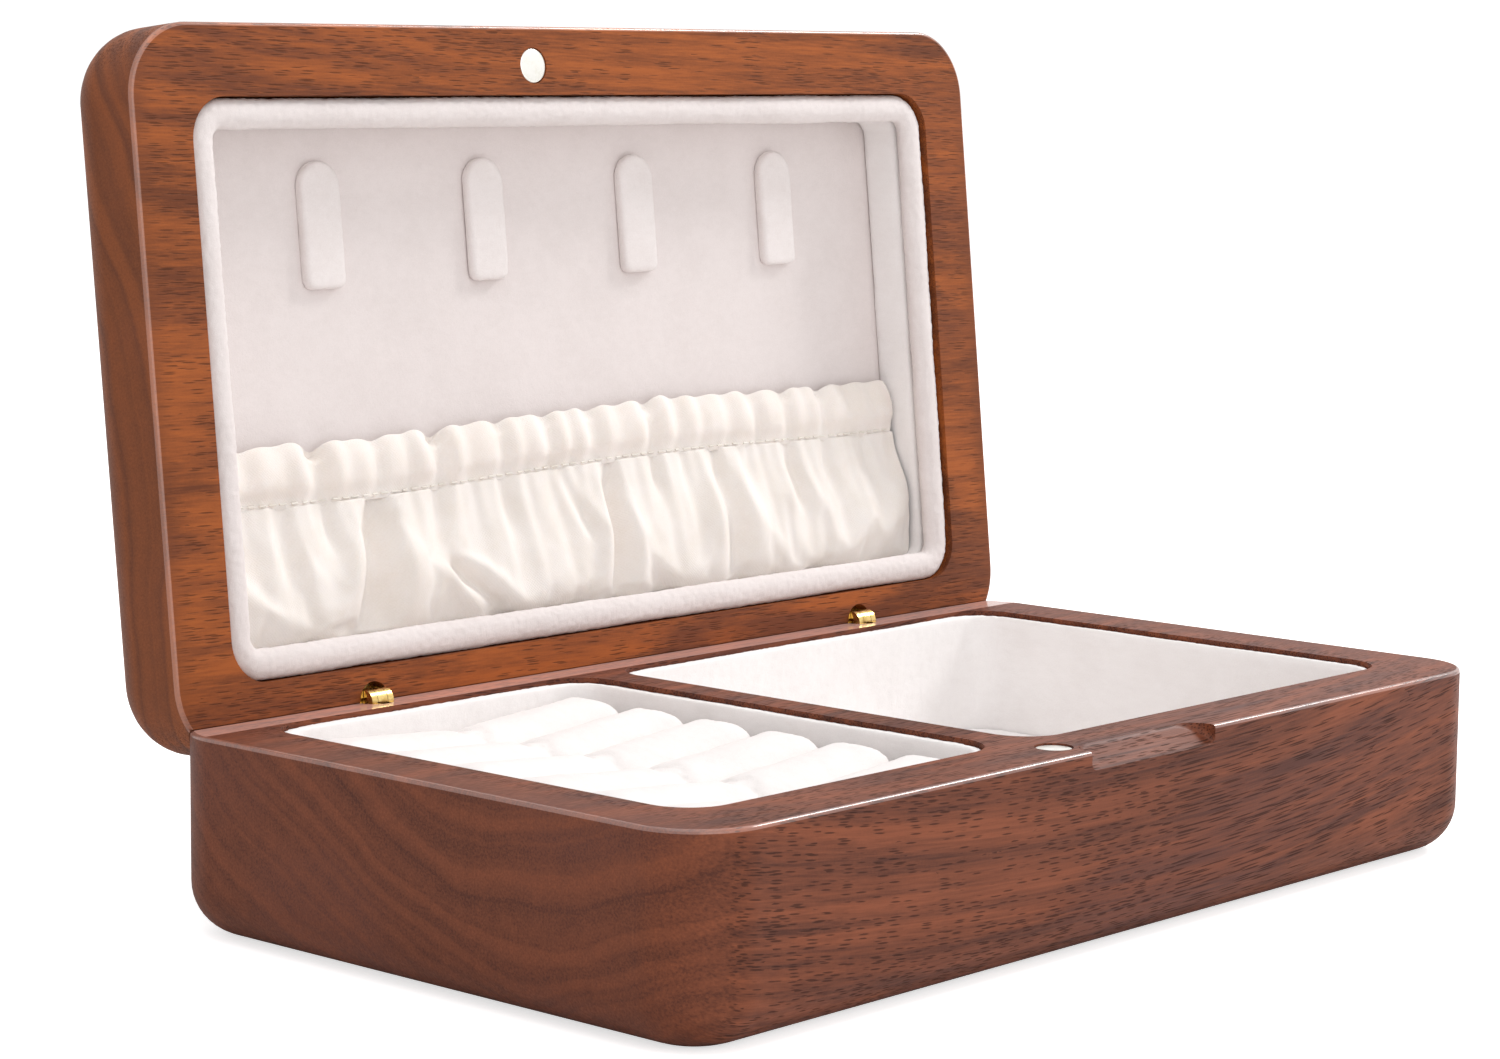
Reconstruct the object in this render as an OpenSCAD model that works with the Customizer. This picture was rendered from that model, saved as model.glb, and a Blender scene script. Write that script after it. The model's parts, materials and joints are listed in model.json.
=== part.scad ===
// A solid-wood display box with a hinged lid: a well of ring rolls, an open well for
// cufflinks and watches, and a padded lid with necklace tabs and a gathered pocket.
// Millimetres. X runs along the length, Y from front to back, Z up.
// The origin is the centre of the face that the base rests on. The lid is drawn open.

/* [Wooden case] */
// Length of the box, left to right
box_length = 200; // [180:1:240]
// Depth of the box, front to back
box_depth = 114; // [104:1:140]
// Height of the wooden base
base_height = 32; // [30:0.5:44]
// Thickness of the wooden lid
lid_thickness = 18; // [17:0.5:24]
// Plan radius of the four upright corners
corner_radius = 12; // [10:0.5:14]
// Radius of the round-over along the base's lower edge
base_roundover = 8.5; // [5:0.1:9.8]
// Radius of the round-over along the lid's outer edge
lid_roundover = 8.5; // [5:0.1:9.8]
// Width of the small bevel that softens the meeting edges
arris = 0.6; // [0.3:0.1:1]
// Gap that stays between lid and base when shut
mating_gap = 0.3; // [0.2:0.1:0.6]

/* [Wells in the base] */
// Thickness of the two end walls of the base
end_wall = 11.5; // [9:0.5:14]
// Thickness of the front wall, measured at the wells
front_wall = 12.5; // [12:0.5:16]
// Thickness of the rear wall, measured at the wells
rear_wall = 10.7; // [10.2:0.1:14]
// Length of the left well, which holds the ring rolls
ring_well_length = 70; // [60:1:80]
// Thickness of the wooden divider between the wells
divider = 6.4; // [5:0.2:10]
// Thickness of wood under the wells
base_floor = 8; // [6:0.5:10]
// Plan radius of the wells' corners
well_corner = 7.5; // [6:0.5:10]

/* [Velvet linings] */
// Thickness of the velvet-covered card along the wells' walls
lining_thickness = 1.8; // [1.2:0.1:2.4]
// Thickness of the velvet-covered boards on the wells' floors
floor_board = 2; // [1.5:0.1:3]
// How far the linings and rolls stop below the base's top face
lining_drop = 0.8; // [0.4:0.1:2]
// Assembly gap round every glued-in lining
lining_gap = 0.1; // [0.05:0.05:0.2]
// Number of ring rolls, front to back
roll_count = 6; // [5:1:7]
// Gap between neighbouring ring rolls
roll_gap = 0.2; // [0.1:0.1:0.5]
// Gap between a roll's tip and the lining at each end
roll_end_gap = 1; // [0.5:0.1:3]
// How far the rolls' crowns lie below the base's top face
roll_drop = 1.2; // [0.8:0.1:3]

/* [Lid lining] */
// Wood left round the lid's recess at the ends
lid_end_wall = 11.5; // [9:0.5:14]
// Wood left between the recess and the lid's front face
lid_front_wall = 11.5; // [11:0.5:14]
// Wood left between the recess and the lid's rear face
lid_rear_wall = 11; // [10.2:0.1:14]
// Depth of the recess from the lid's meeting face
recess_depth = 14; // [13:0.1:16.1]
// Plan radius of the recess corners
recess_corner = 7; // [6.5:0.5:10]
// Thickness of the velvet-covered back board
back_board = 1.8; // [1.2:0.1:2.4]
// Diameter of the padded velvet rim round the recess mouth
rim_diameter = 3.8; // [3:0.1:4.5]
// How far the rim stays below the lid's meeting face
rim_drop = 0.3; // [0.2:0.1:0.8]
// Thickness of the padded walls behind the rim
wall_pad = 4.2; // [3:0.1:5]

/* [Necklace tabs and pocket] */
// Number of velvet tabs on the back board
tab_count = 4; // [3:1:5]
// Distance from the padded end walls to the row of tabs
tab_side_margin = 23.85; // [18:0.05:30]
// How far the row of tabs sits right of the lid's middle
tab_row_offset = 1.7; // [-3:0.1:3]
// Width of a tab
tab_width = 9.7; // [8:0.1:12]
// Length of a tab, its round end included
tab_length = 21.7; // [18:0.1:26]
// Thickness of a tab
tab_thickness = 1.8; // [1:0.1:2.2]
// Distance from the padded front wall to the tabs' round ends
tab_top_gap = 4.5; // [2:0.1:8]
// Corner radius of the tabs' square ends
tab_corner = 1.6; // [0.8:0.1:2.5]
// Distance from the hinge line to the pocket's stitch line
stitch_height = 33.6; // [28:0.2:38.8]
// Width of the gathered header above the stitch line
header_width = 9; // [8.6:0.1:12]
// Thickness of the header from front to back
header_thickness = 2.6; // [2.4:0.1:3.2]
// Depth of the scallops along the header's free edge
scallop = 1.1; // [0.4:0.1:1.6]
// Number of gathers that the elastic draws into the cloth
gather_count = 13; // [9:1:15]
// How far the gathers swell the cloth
gather_swell = 0.5; // [0.2:0.1:0.7]
// How far the pocket bulges forward of its stitch line, at its fullest
pocket_bulge = 4.8; // [3:0.1:5.6]
// Thickness of the pocket cloth
cloth_thickness = 1; // [0.6:0.1:1.2]
// Width of the elastic band inside the header
elastic_width = 6; // [4:0.1:6.9]
// Thickness of the elastic band inside the header
elastic_thickness = 0.8; // [0.5:0.1:1]

/* [Magnetic catch and thumb notch] */
// Diameter of the two disc magnets
magnet_diameter = 6; // [5:0.5:7]
// Thickness of the two disc magnets
magnet_thickness = 2; // [1.5:0.5:4]
// Sideways place of the magnets, measured from the box's middle
magnet_place = -14; // [-40:0.5:-13.5]
// Distance of the magnets' centres from the front face
magnet_setback = 6.6; // [6:0.1:7.6]
// How far the base's magnet is sunk below the wood
magnet_sunk = 0.5; // [0.1:0.1:1]
// Length of the thumb notch in the base's front edge
notch_length = 32; // [24:1:40]
// Sideways place of the notch's middle
notch_place = 3; // [3:0.5:20]
// How far the notch reaches in from the front face
notch_reach = 5.5; // [4:0.1:6.4]
// Depth of the notch below the base's top face
notch_depth = 3.3; // [2:0.1:5]
// Radius between the notch's floor and its wall
notch_fillet = 2.4; // [1:0.1:3]

/* [Barrel hinges] */
// Angle between the meeting faces when the lid is fully open
open_angle = 96; // [92:1:100]
// Distance from the rear face to the hinge line, the width of the stop bevels
bevel_width = 5.5; // [5:0.1:6.4]
// Distance of each hinge from the box's middle
hinge_offset = 60; // [40:1:70]
// Diameter of the hinges' brass barrels
barrel_diameter = 6; // [5:0.5:7]
// Length of a barrel inside the wood
barrel_length = 10; // [8:0.5:11.5]
// Gap between a barrel and its bore
barrel_fit = 0.05; // [0.02:0.01:0.1]
// Radius of the knuckles round the pin
knuckle_radius = 1.9; // [1.6:0.05:2.2]
// Width of the lid barrel's tongue
tongue_width = 2; // [1.6:0.1:2.4]
// Sideways play between tongue and ears
knuckle_play = 0.1; // [0.06:0.02:0.16]
// Diameter of the hinge pin
pin_diameter = 1.2; // [1:0.1:1.6]
// Gap all round the pin
pin_clearance = 0.04; // [0.02:0.01:0.08]

/* [Hidden] */

$fn = 64;
cut_margin = 1;

// Planes that the whole box is laid out from
half_length = box_length / 2;
half_depth = box_depth / 2;
hinge_y = half_depth - bevel_width;
hinge_z = base_height + mating_gap / 2;
lid_face_z = base_height + mating_gap;
lid_top_z = lid_face_z + lid_thickness;
bevel_angle = open_angle / 2;

// The two wells, by their wooden edges
well_front = -half_depth + front_wall;
well_back = half_depth - rear_wall;
ring_well_left = -half_length + end_wall;
ring_well_right = ring_well_left + ring_well_length;
open_well_left = ring_well_right + divider;
open_well_right = half_length - end_wall;
lining_top = base_height - lining_drop;
lining_inset = lining_gap + lining_thickness;
board_inset = lining_inset + lining_gap;
board_top = base_floor + floor_board;

// The row of ring rolls, which fills its well from front to back
roll_row = well_back - well_front - 2 * (lining_inset + roll_gap);
roll_pitch = (roll_row + roll_gap) / roll_count;
roll_radius = (roll_pitch - roll_gap) / 2;
roll_left = ring_well_left + lining_inset + roll_end_gap;
roll_right = ring_well_right - lining_inset - roll_end_gap;
roll_axis_z = base_height - roll_drop - roll_radius;

// The lid's recess, given with the lid shut
recess_right = half_length - lid_end_wall;
recess_front = -half_depth + lid_front_wall;
recess_back = half_depth - lid_rear_wall;
recess_top_z = lid_face_z + recess_depth;
board_face = recess_depth - back_board;
pad_start = rim_drop + rim_diameter + lining_gap;
pad_inset = lining_gap + wall_pad;

// The row of tabs, set out from the padded walls
tab_row = 2 * (recess_right - pad_inset - tab_side_margin) - tab_width;
tab_pitch = tab_row / (tab_count - 1);
tab_start = hinge_y - recess_front - pad_inset - tab_top_gap - tab_length;

// The pocket hangs between the padded end walls, near the hinge line
soft_gap = 0.3;
pocket_half = recess_right - pad_inset - soft_gap;
pocket_bottom = hinge_y - recess_back + pad_inset + soft_gap;
pocket_bottom_depth = board_face - soft_gap - cloth_thickness;
header_depth = board_face - soft_gap - header_thickness - gather_swell / 2;
header_start = stitch_height + lining_gap;
header_fold = 0.25;
header_turn = 1;
header_round = 0.75;
channel_gap = 0.15;
channel_set_back = 0.1;
gather_drift = 40;
pocket_columns = 96;
pocket_rows = 5;
fold_count = 3.5;
fold_share = 0.8;
fold_bulge = 0.1;
fold_lean = 70;
bulge_shape = 0.7;
end_fullness = 0.72;

// Hinge parts
barrel_radius = barrel_diameter / 2;
bore_radius = barrel_radius + barrel_fit;
knuckle_half = sqrt(pow(barrel_radius, 2) - pow(knuckle_radius, 2)) - pin_clearance;
slot_ratio = 1.35;
slot_depth = slot_ratio * knuckle_radius;
pin_radius = pin_diameter / 2;
barrel_end_gap = 0.5;
magnet_fit = 0.05;
lid_magnet_sunk = 0.1;

// Places a shut lid part as it stands with the lid open
module opened() {
  translate([0, hinge_y, hinge_z]) rotate([-open_angle, 0, 0])
    translate([0, -hinge_y, -hinge_z]) children();
}

// Flat rounded rectangle between two corners, drawn in by an inset
module plan(x0, x1, y0, y1, radius, inset = 0) {
  r = radius - inset;
  translate([(x0 + x1) / 2, (y0 + y1) / 2]) {
    square([x1 - x0 - 2 * inset - 2 * r, y1 - y0 - 2 * inset], center = true);
    square([x1 - x0 - 2 * inset, y1 - y0 - 2 * inset - 2 * r], center = true);
    for (sx = [-1, 1], sy = [-1, 1])
      translate([sx * ((x1 - x0) / 2 - inset - r), sy * ((y1 - y0) / 2 - inset - r)])
        circle(r);
  }
}

// Half section of a wooden shell: round-over at the bottom, small bevel at the top
module edge_profile(width, height, roundover) {
  difference() {
    square([width, height]);
    translate([width - roundover, 0]) difference() {
      translate([0, -cut_margin]) square(roundover + cut_margin);
      translate([0, roundover]) circle(roundover);
    }
    polygon([
      [width - arris, height + cut_margin],
      [width - arris, height],
      [width, height - arris],
      [width + cut_margin, height - arris],
      [width + cut_margin, height + cut_margin]
    ]);
  }
}

// Whole section, both halves
module full_profile(width, height, roundover) {
  edge_profile(width, height, roundover);
  mirror([1, 0]) edge_profile(width, height, roundover);
}

// Block with rounded upright corners and a round-over that turns with them
module rounded_block(height, roundover) {
  rotate([90, 0, 90])
    linear_extrude(box_length - 2 * corner_radius, center = true)
      full_profile(half_depth, height, roundover);
  rotate([90, 0, 0])
    linear_extrude(box_depth - 2 * corner_radius, center = true)
      full_profile(half_length, height, roundover);
  for (sx = [-1, 1], sy = [-1, 1])
    translate([sx * (half_length - corner_radius), sy * (half_depth - corner_radius), 0])
      rotate_extrude() edge_profile(corner_radius, height, roundover);
}

// Wedge that bevels the meeting edge behind the hinge line; it rises from z = 0
module rear_bevel() {
  run = bevel_width + cut_margin;
  rotate([90, 0, 90]) linear_extrude(box_length + 2 * cut_margin, center = true)
    polygon([
      [hinge_y, 0],
      [hinge_y + run, -run * tan(bevel_angle)],
      [hinge_y + run, cut_margin],
      [hinge_y, cut_margin]
    ]);
}

// Bull-nosed cutter section: a radius between the floor and the wall
module notch_profile() {
  difference() {
    square([notch_reach, notch_depth + cut_margin]);
    translate([notch_reach - notch_fillet, 0]) difference() {
      square(notch_fillet);
      translate([0, notch_fillet]) circle(notch_fillet);
    }
  }
}

module thumb_notch() {
  run = notch_length - 2 * notch_reach;
  translate([notch_place, -half_depth, base_height - notch_depth]) {
    for (side = [-1, 1])
      translate([side * run / 2, 0, 0]) rotate_extrude() notch_profile();
    rotate([90, 0, 90]) linear_extrude(run, center = true) {
      notch_profile();
      mirror([1, 0]) notch_profile();
    }
  }
}

module base_body() {
  color("#6b4234") difference() {
    rounded_block(base_height, base_roundover);
    translate([0, 0, base_height]) rear_bevel();
    translate([0, 0, base_floor]) linear_extrude(base_height) {
      plan(ring_well_left, ring_well_right, well_front, well_back, well_corner);
      plan(open_well_left, open_well_right, well_front, well_back, well_corner);
    }
    thumb_notch();
    translate([magnet_place, -half_depth + magnet_setback,
               base_height - magnet_sunk - magnet_thickness])
      cylinder(r = magnet_diameter / 2 + magnet_fit, h = magnet_thickness + cut_margin);
    for (side = [-1, 1])
      translate([side * hinge_offset, hinge_y, base_height - barrel_length - barrel_end_gap])
        cylinder(r = bore_radius, h = barrel_length + barrel_end_gap + cut_margin);
  }
}

module lid_body() {
  color("#8a5230") opened() difference() {
    translate([0, 0, lid_top_z]) mirror([0, 0, 1])
      rounded_block(lid_thickness, lid_roundover);
    translate([0, 0, lid_face_z]) mirror([0, 0, 1]) rear_bevel();
    translate([0, 0, lid_face_z - cut_margin]) linear_extrude(recess_depth + cut_margin)
      plan(-recess_right, recess_right, recess_front, recess_back, recess_corner);
    translate([magnet_place, -half_depth + magnet_setback, lid_face_z - cut_margin])
      cylinder(r = magnet_diameter / 2 + magnet_fit,
               h = magnet_thickness + lid_magnet_sunk + cut_margin);
    for (side = [-1, 1])
      translate([side * hinge_offset, hinge_y, lid_face_z - cut_margin])
        cylinder(r = bore_radius, h = barrel_length + barrel_end_gap + cut_margin);
  }
}

module disc_magnet(z) {
  color("#c8c8c6") translate([magnet_place, -half_depth + magnet_setback, z])
    cylinder(d = magnet_diameter, h = magnet_thickness);
}

module base_magnet() disc_magnet(base_height - magnet_sunk - magnet_thickness);

module lid_magnet() opened() disc_magnet(lid_face_z + lid_magnet_sunk);

// Velvet-covered strip that follows the walls of one well
module well_wall_lining(left, right) {
  color("#efe9e6") translate([0, 0, base_floor]) linear_extrude(lining_top - base_floor)
    difference() {
      plan(left, right, well_front, well_back, well_corner, lining_gap);
      plan(left, right, well_front, well_back, well_corner, lining_inset);
    }
}

// Velvet-covered board on the floor of one well
module well_floor_board(left, right) {
  color("#e9e2df") translate([0, 0, base_floor]) linear_extrude(floor_board)
    plan(left, right, well_front, well_back, well_corner, board_inset);
}

module ring_well_wall_lining() well_wall_lining(ring_well_left, ring_well_right);

module ring_well_floor_board() well_floor_board(ring_well_left, ring_well_right);

module open_well_wall_lining() well_wall_lining(open_well_left, open_well_right);

module open_well_floor_board() well_floor_board(open_well_left, open_well_right);

// Foam roll in velvet: a round crown with round ends over upright sides
module ring_roll(number) {
  y = (well_front + well_back) / 2 + (number - (roll_count + 1) / 2) * roll_pitch;
  x0 = roll_left + roll_radius;
  x1 = roll_right - roll_radius;
  color("#f4efec") translate([0, y, 0]) {
    translate([0, 0, board_top]) linear_extrude(roll_axis_z - board_top) {
      translate([x0, -roll_radius]) square([x1 - x0, 2 * roll_radius]);
      for (x = [x0, x1])
        translate([x, 0]) circle(roll_radius);
    }
    translate([x0, 0, roll_axis_z]) rotate([0, 90, 0]) cylinder(r = roll_radius, h = x1 - x0);
    for (x = [x0, x1])
      translate([x, 0, roll_axis_z]) sphere(roll_radius);
  }
}

// Round bar across the hinge, centred on the hinge line
module cross_bar(radius, x0, x1) {
  translate([x0, hinge_y, hinge_z]) rotate([0, 90, 0]) cylinder(r = radius, h = x1 - x0);
}

// Base half of a hinge: a barrel that carries two ears above the wood
module base_hinge_barrel(place) {
  ear_start = tongue_width / 2 + knuckle_play;
  color("#d9b45a") translate([place, 0, 0]) difference() {
    union() {
      difference() {
        translate([0, hinge_y, base_height - barrel_length])
          cylinder(r = barrel_radius, h = barrel_length);
        translate([0, 0, base_height]) rear_bevel();
      }
      for (side = [-1, 1]) {
        cross_bar(knuckle_radius, min(side * ear_start, side * knuckle_half),
                  max(side * ear_start, side * knuckle_half));
        translate([side * (ear_start + knuckle_half) / 2, hinge_y, hinge_z - slot_depth / 2])
          cube([knuckle_half - ear_start, 2 * knuckle_radius, slot_depth], center = true);
      }
    }
    translate([-ear_start, hinge_y - barrel_diameter, hinge_z - slot_depth])
      cube([2 * ear_start, 2 * barrel_diameter, 2 * slot_depth]);
    cross_bar(pin_radius + pin_clearance, -barrel_diameter, barrel_diameter);
  }
}

// Lid half of a hinge: a barrel with a middle tongue, hollowed for the ears
module lid_hinge_barrel(place) {
  hollow = knuckle_half + knuckle_play;
  color("#d9b45a") opened() translate([place, 0, 0]) difference() {
    union() {
      difference() {
        translate([0, hinge_y, lid_face_z]) cylinder(r = barrel_radius, h = barrel_length);
        translate([0, 0, lid_face_z]) mirror([0, 0, 1]) rear_bevel();
        translate([-hollow, hinge_y - barrel_diameter, hinge_z - slot_depth])
          cube([2 * hollow, 2 * barrel_diameter, 2 * slot_depth]);
      }
      cross_bar(knuckle_radius, -tongue_width / 2, tongue_width / 2);
      translate([-tongue_width / 2, hinge_y - knuckle_radius, hinge_z])
        cube([tongue_width, 2 * knuckle_radius, slot_depth + cut_margin]);
    }
    cross_bar(pin_radius + pin_clearance, -barrel_diameter, barrel_diameter);
  }
}

module hinge_pin(place) {
  color("#c9a24c") translate([place, 0, 0]) cross_bar(pin_radius, -knuckle_half, knuckle_half);
}

module lid_back_board() {
  color("#e9e2df") opened() translate([0, 0, lid_face_z + board_face])
    linear_extrude(back_board)
      plan(-recess_right, recess_right, recess_front, recess_back, recess_corner, lining_gap);
}

// Padded walls between the back board and the rim
module lid_wall_pad() {
  color("#efe9e6") opened() translate([0, 0, lid_face_z + pad_start])
    linear_extrude(board_face - pad_start) difference() {
      plan(-recess_right, recess_right, recess_front, recess_back, recess_corner, lining_gap);
      plan(-recess_right, recess_right, recess_front, recess_back, recess_corner, pad_inset);
    }
}

// Velvet roll that runs once round the mouth of the recess
module lid_padded_rim() {
  r = rim_diameter / 2;
  inset = lining_gap + r;
  turn = recess_corner - inset;
  x = recess_right - recess_corner;
  y0 = recess_front + recess_corner;
  y1 = recess_back - recess_corner;
  color("#f4efec") opened() translate([0, 0, lid_face_z + rim_drop + r]) {
    for (y = [recess_front + inset, recess_back - inset])
      translate([-x, y, 0]) rotate([0, 90, 0]) cylinder(r = r, h = 2 * x);
    for (side = [-1, 1])
      translate([side * (recess_right - inset), y0, 0]) rotate([-90, 0, 0])
        cylinder(r = r, h = y1 - y0);
    for (corner = [[x, y1, 0], [-x, y1, 90], [-x, y0, 180], [x, y0, 270]])
      translate([corner[0], corner[1], 0]) rotate([0, 0, corner[2]])
        rotate_extrude(angle = 90) translate([turn, 0]) circle(r);
  }
}

// Velvet tab sewn to the back board: round end up, square end towards the pocket
module necklace_tab(number) {
  x = tab_row_offset + (number - (tab_count + 1) / 2) * tab_pitch;
  r = tab_width / 2;
  color("#f1ebe8") opened()
    translate([x, hinge_y - tab_start, lid_face_z + board_face - tab_thickness])
      linear_extrude(tab_thickness) {
        translate([0, r - tab_length]) circle(r);
        translate([-r, r - tab_length]) square([tab_width, tab_length - r - tab_corner]);
        translate([tab_corner - r, -tab_corner]) square([tab_width - 2 * tab_corner, tab_corner]);
        for (side = [-1, 1])
          translate([side * (r - tab_corner), -tab_corner]) circle(tab_corner);
      }
}

// Lid point from its place along the box, its distance from the hinge line and its depth
function in_lid(x, height, depth) = [x, hinge_y - height, lid_face_z + depth];

function column_x(i) = -pocket_half + 2 * pocket_half * i / pocket_columns;

// Wave of the gathers along the elastic, from -1 to 1
function gather(i) =
  sin(360 * gather_count * i / pocket_columns + gather_drift * sin(720 * i / pocket_columns));

// Broad soft folds below the stitch line, which lean as they fall
function fold(i, s) = sin(360 * fold_count * i / pocket_columns + fold_lean * s);

// The pocket is fullest in the middle and flatter at its two ends
function fullness(i) = end_fullness + (1 - end_fullness) * sin(180 * i / pocket_columns);

// Depth of the pocket's front face; s runs from the bottom seam to the stitch line
function pocket_depth(i, s) =
  pocket_bottom_depth + (header_depth - pocket_bottom_depth) * s
  - pocket_bulge * fullness(i) * pow(sin(180 * s), bulge_shape) * (1 + fold_bulge * fold(i, s))
  - fold_share * fold(i, s) * sin(180 * s) / 2
  - gather_swell * gather(i) * s * s;

function pocket_point(i, j, behind) =
  let (s = j / pocket_rows)
  in_lid(column_x(i), pocket_bottom + (stitch_height - pocket_bottom) * s,
         pocket_depth(i, s) + behind);

// Closed skin of rings that run round a bar; each ring has the same number of points
module ring_skin(rings, holes) {
  n = len(rings[0]);
  m = len(holes[0]);
  last = len(rings) - 1;
  inner = len(rings) * n;
  points = concat([for (ring = rings) each ring], [for (hole = holes) each hole]);
  outer_faces = [
    for (i = [0:last - 1], k = [0:n - 1])
      let (a = i * n + k, b = i * n + (k + 1) % n)
      each [[a, a + n, b + n], [a, b + n, b]]
  ];
  inner_faces = [
    for (i = [0:last - 1], k = [0:m - 1])
      let (a = inner + i * m + k, b = inner + i * m + (k + 1) % m)
      each [[a, b + m, a + m], [a, b, b + m]]
  ];
  share = n / max(m, 1);
  cap_faces = [
    for (end = [0, 1], k = [0:n - 1])
      let (
        a = end * last * n + k,
        b = end * last * n + (k + 1) % n,
        c = inner + end * last * m + floor(k / share) % max(m, 1),
        d = inner + end * last * m + floor((k + 1) / share) % max(m, 1)
      )
      each c == d
        ? [end == 0 ? [a, b, c] : [b, a, c]]
        : [end == 0 ? [a, b, c] : [b, a, c], end == 0 ? [b, d, c] : [d, b, c]]
  ];
  polyhedron(points, concat(outer_faces, inner_faces, cap_faces), convexity = 6);
}

// Sheet with a front grid of points and a back grid behind it
module thick_sheet(front, back) {
  cols = len(front);
  rows = len(front[0]);
  back_start = cols * rows;
  points = concat([for (col = front) each col], [for (col = back) each col]);
  skin = [
    for (i = [0:cols - 2], j = [0:rows - 2])
      let (a = i * rows + j, b = a + 1, c = a + rows, d = c + 1, e = back_start)
      each [[a, b, d], [a, d, c], [a + e, d + e, b + e], [a + e, c + e, d + e]]
  ];
  ends = [
    for (j = [0:rows - 2])
      let (a = j, b = j + 1, c = (cols - 1) * rows + j, d = c + 1, e = back_start)
      each [[a, b + e, b], [a, a + e, b + e], [c, d, d + e], [c, d + e, c + e]]
  ];
  edges = [
    for (i = [0:cols - 2])
      let (a = i * rows, c = a + rows, b = a + rows - 1, d = c + rows - 1, e = back_start)
      each [[a, c, c + e], [a, c + e, a + e], [b, d + e, d], [b, b + e, d + e]]
  ];
  polyhedron(points, concat(skin, ends, edges), convexity = 6);
}

module pocket_cloth() {
  color("#f3ece0") opened() thick_sheet(
    [for (i = [0:pocket_columns]) [for (j = [0:pocket_rows]) pocket_point(i, j, 0)]],
    [for (i = [0:pocket_columns]) [for (j = [0:pocket_rows]) pocket_point(i, j, cloth_thickness)]]
  );
}

// Section of the header at one column: a flattened sleeve with a scalloped free edge
function header_ring(i) =
  let (
    x = column_x(i),
    swell = gather_swell * gather(i),
    low = header_start,
    high = stitch_height + header_width + scallop * gather(i),
    front = header_depth - swell / 2,
    back = header_depth + header_thickness
  )
  [
    in_lid(x, low, front + header_fold),
    in_lid(x, low + header_turn, front),
    in_lid(x, high - header_turn, front),
    in_lid(x, high, front + header_round),
    in_lid(x, high, back - header_round),
    in_lid(x, high - header_turn, back),
    in_lid(x, low + header_turn, back),
    in_lid(x, low, back - header_fold)
  ];

// Section of the sleeve's channel, which the elastic runs through
channel_middle = stitch_height + (header_width - scallop) / 2;
channel_depth = header_depth + header_thickness / 2 + channel_set_back;
function channel_ring(i) =
  let (
    x = column_x(i),
    half_width = elastic_width / 2 + channel_gap,
    half_thickness = elastic_thickness / 2 + channel_gap
  )
  [
    in_lid(x, channel_middle - half_width, channel_depth - half_thickness),
    in_lid(x, channel_middle + half_width, channel_depth - half_thickness),
    in_lid(x, channel_middle + half_width, channel_depth + half_thickness),
    in_lid(x, channel_middle - half_width, channel_depth + half_thickness)
  ];

module pocket_header() {
  color("#f3ece0") opened() ring_skin(
    [for (i = [0:pocket_columns]) header_ring(i)],
    [for (i = [0:pocket_columns]) channel_ring(i)]
  );
}

module pocket_elastic() {
  color("#ffffff") opened()
    translate(in_lid(0, channel_middle, channel_depth))
      cube([2 * pocket_half, elastic_width, elastic_thickness], center = true);
}

base_body();
base_magnet();
ring_well_wall_lining();
ring_well_floor_board();
ring_roll(1);  // ring_roll_1
ring_roll(2);  // ring_roll_2
ring_roll(3);  // ring_roll_3
ring_roll(4);  // ring_roll_4
ring_roll(5);  // ring_roll_5
ring_roll(6);  // ring_roll_6
open_well_wall_lining();
open_well_floor_board();
base_hinge_barrel(-hinge_offset);  // base_hinge_barrel_left
base_hinge_barrel(hinge_offset);  // base_hinge_barrel_right
hinge_pin(-hinge_offset);  // hinge_pin_left
hinge_pin(hinge_offset);  // hinge_pin_right
lid_hinge_barrel(-hinge_offset);  // lid_hinge_barrel_left
lid_hinge_barrel(hinge_offset);  // lid_hinge_barrel_right
lid_body();
lid_magnet();
lid_back_board();
lid_wall_pad();
lid_padded_rim();
necklace_tab(1);  // necklace_tab_1
necklace_tab(2);  // necklace_tab_2
necklace_tab(3);  // necklace_tab_3
necklace_tab(4);  // necklace_tab_4
pocket_cloth();
pocket_header();
pocket_elastic();
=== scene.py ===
# %% [markdown]
# # A walnut display box for rings and cufflinks
# The box is a routed block of walnut with a hinged lid, velvet linings, six ring rolls,
# four necklace tabs and a gathered pocket. The construction comes from a measured frame,
# and this lesson gives each piece its surface: wood, velvet, cloth, brass and nickel.

# %% Load the frame
import bpy
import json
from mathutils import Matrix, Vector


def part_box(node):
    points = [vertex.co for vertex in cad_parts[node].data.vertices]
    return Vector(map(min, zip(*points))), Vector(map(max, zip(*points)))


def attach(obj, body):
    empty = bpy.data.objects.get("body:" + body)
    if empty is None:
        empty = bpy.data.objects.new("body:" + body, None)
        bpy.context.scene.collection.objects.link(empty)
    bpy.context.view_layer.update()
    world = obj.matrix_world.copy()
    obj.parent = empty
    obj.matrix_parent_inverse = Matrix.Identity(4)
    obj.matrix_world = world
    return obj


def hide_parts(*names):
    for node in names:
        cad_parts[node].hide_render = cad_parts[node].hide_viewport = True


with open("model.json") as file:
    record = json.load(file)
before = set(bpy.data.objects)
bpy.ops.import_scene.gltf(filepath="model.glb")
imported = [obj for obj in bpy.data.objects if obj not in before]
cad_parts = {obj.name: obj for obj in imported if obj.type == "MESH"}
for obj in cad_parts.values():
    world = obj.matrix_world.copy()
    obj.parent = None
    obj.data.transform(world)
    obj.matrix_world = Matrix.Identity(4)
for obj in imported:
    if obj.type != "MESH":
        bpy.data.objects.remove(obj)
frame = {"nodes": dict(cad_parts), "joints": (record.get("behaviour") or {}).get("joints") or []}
bpy.context.view_layer.update()

import json
import math

from mathutils import Matrix, Vector, noise

MM = 0.001
NEAR = 0.001 * MM
print("frame holds", len(frame["nodes"]), "nodes")

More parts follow.
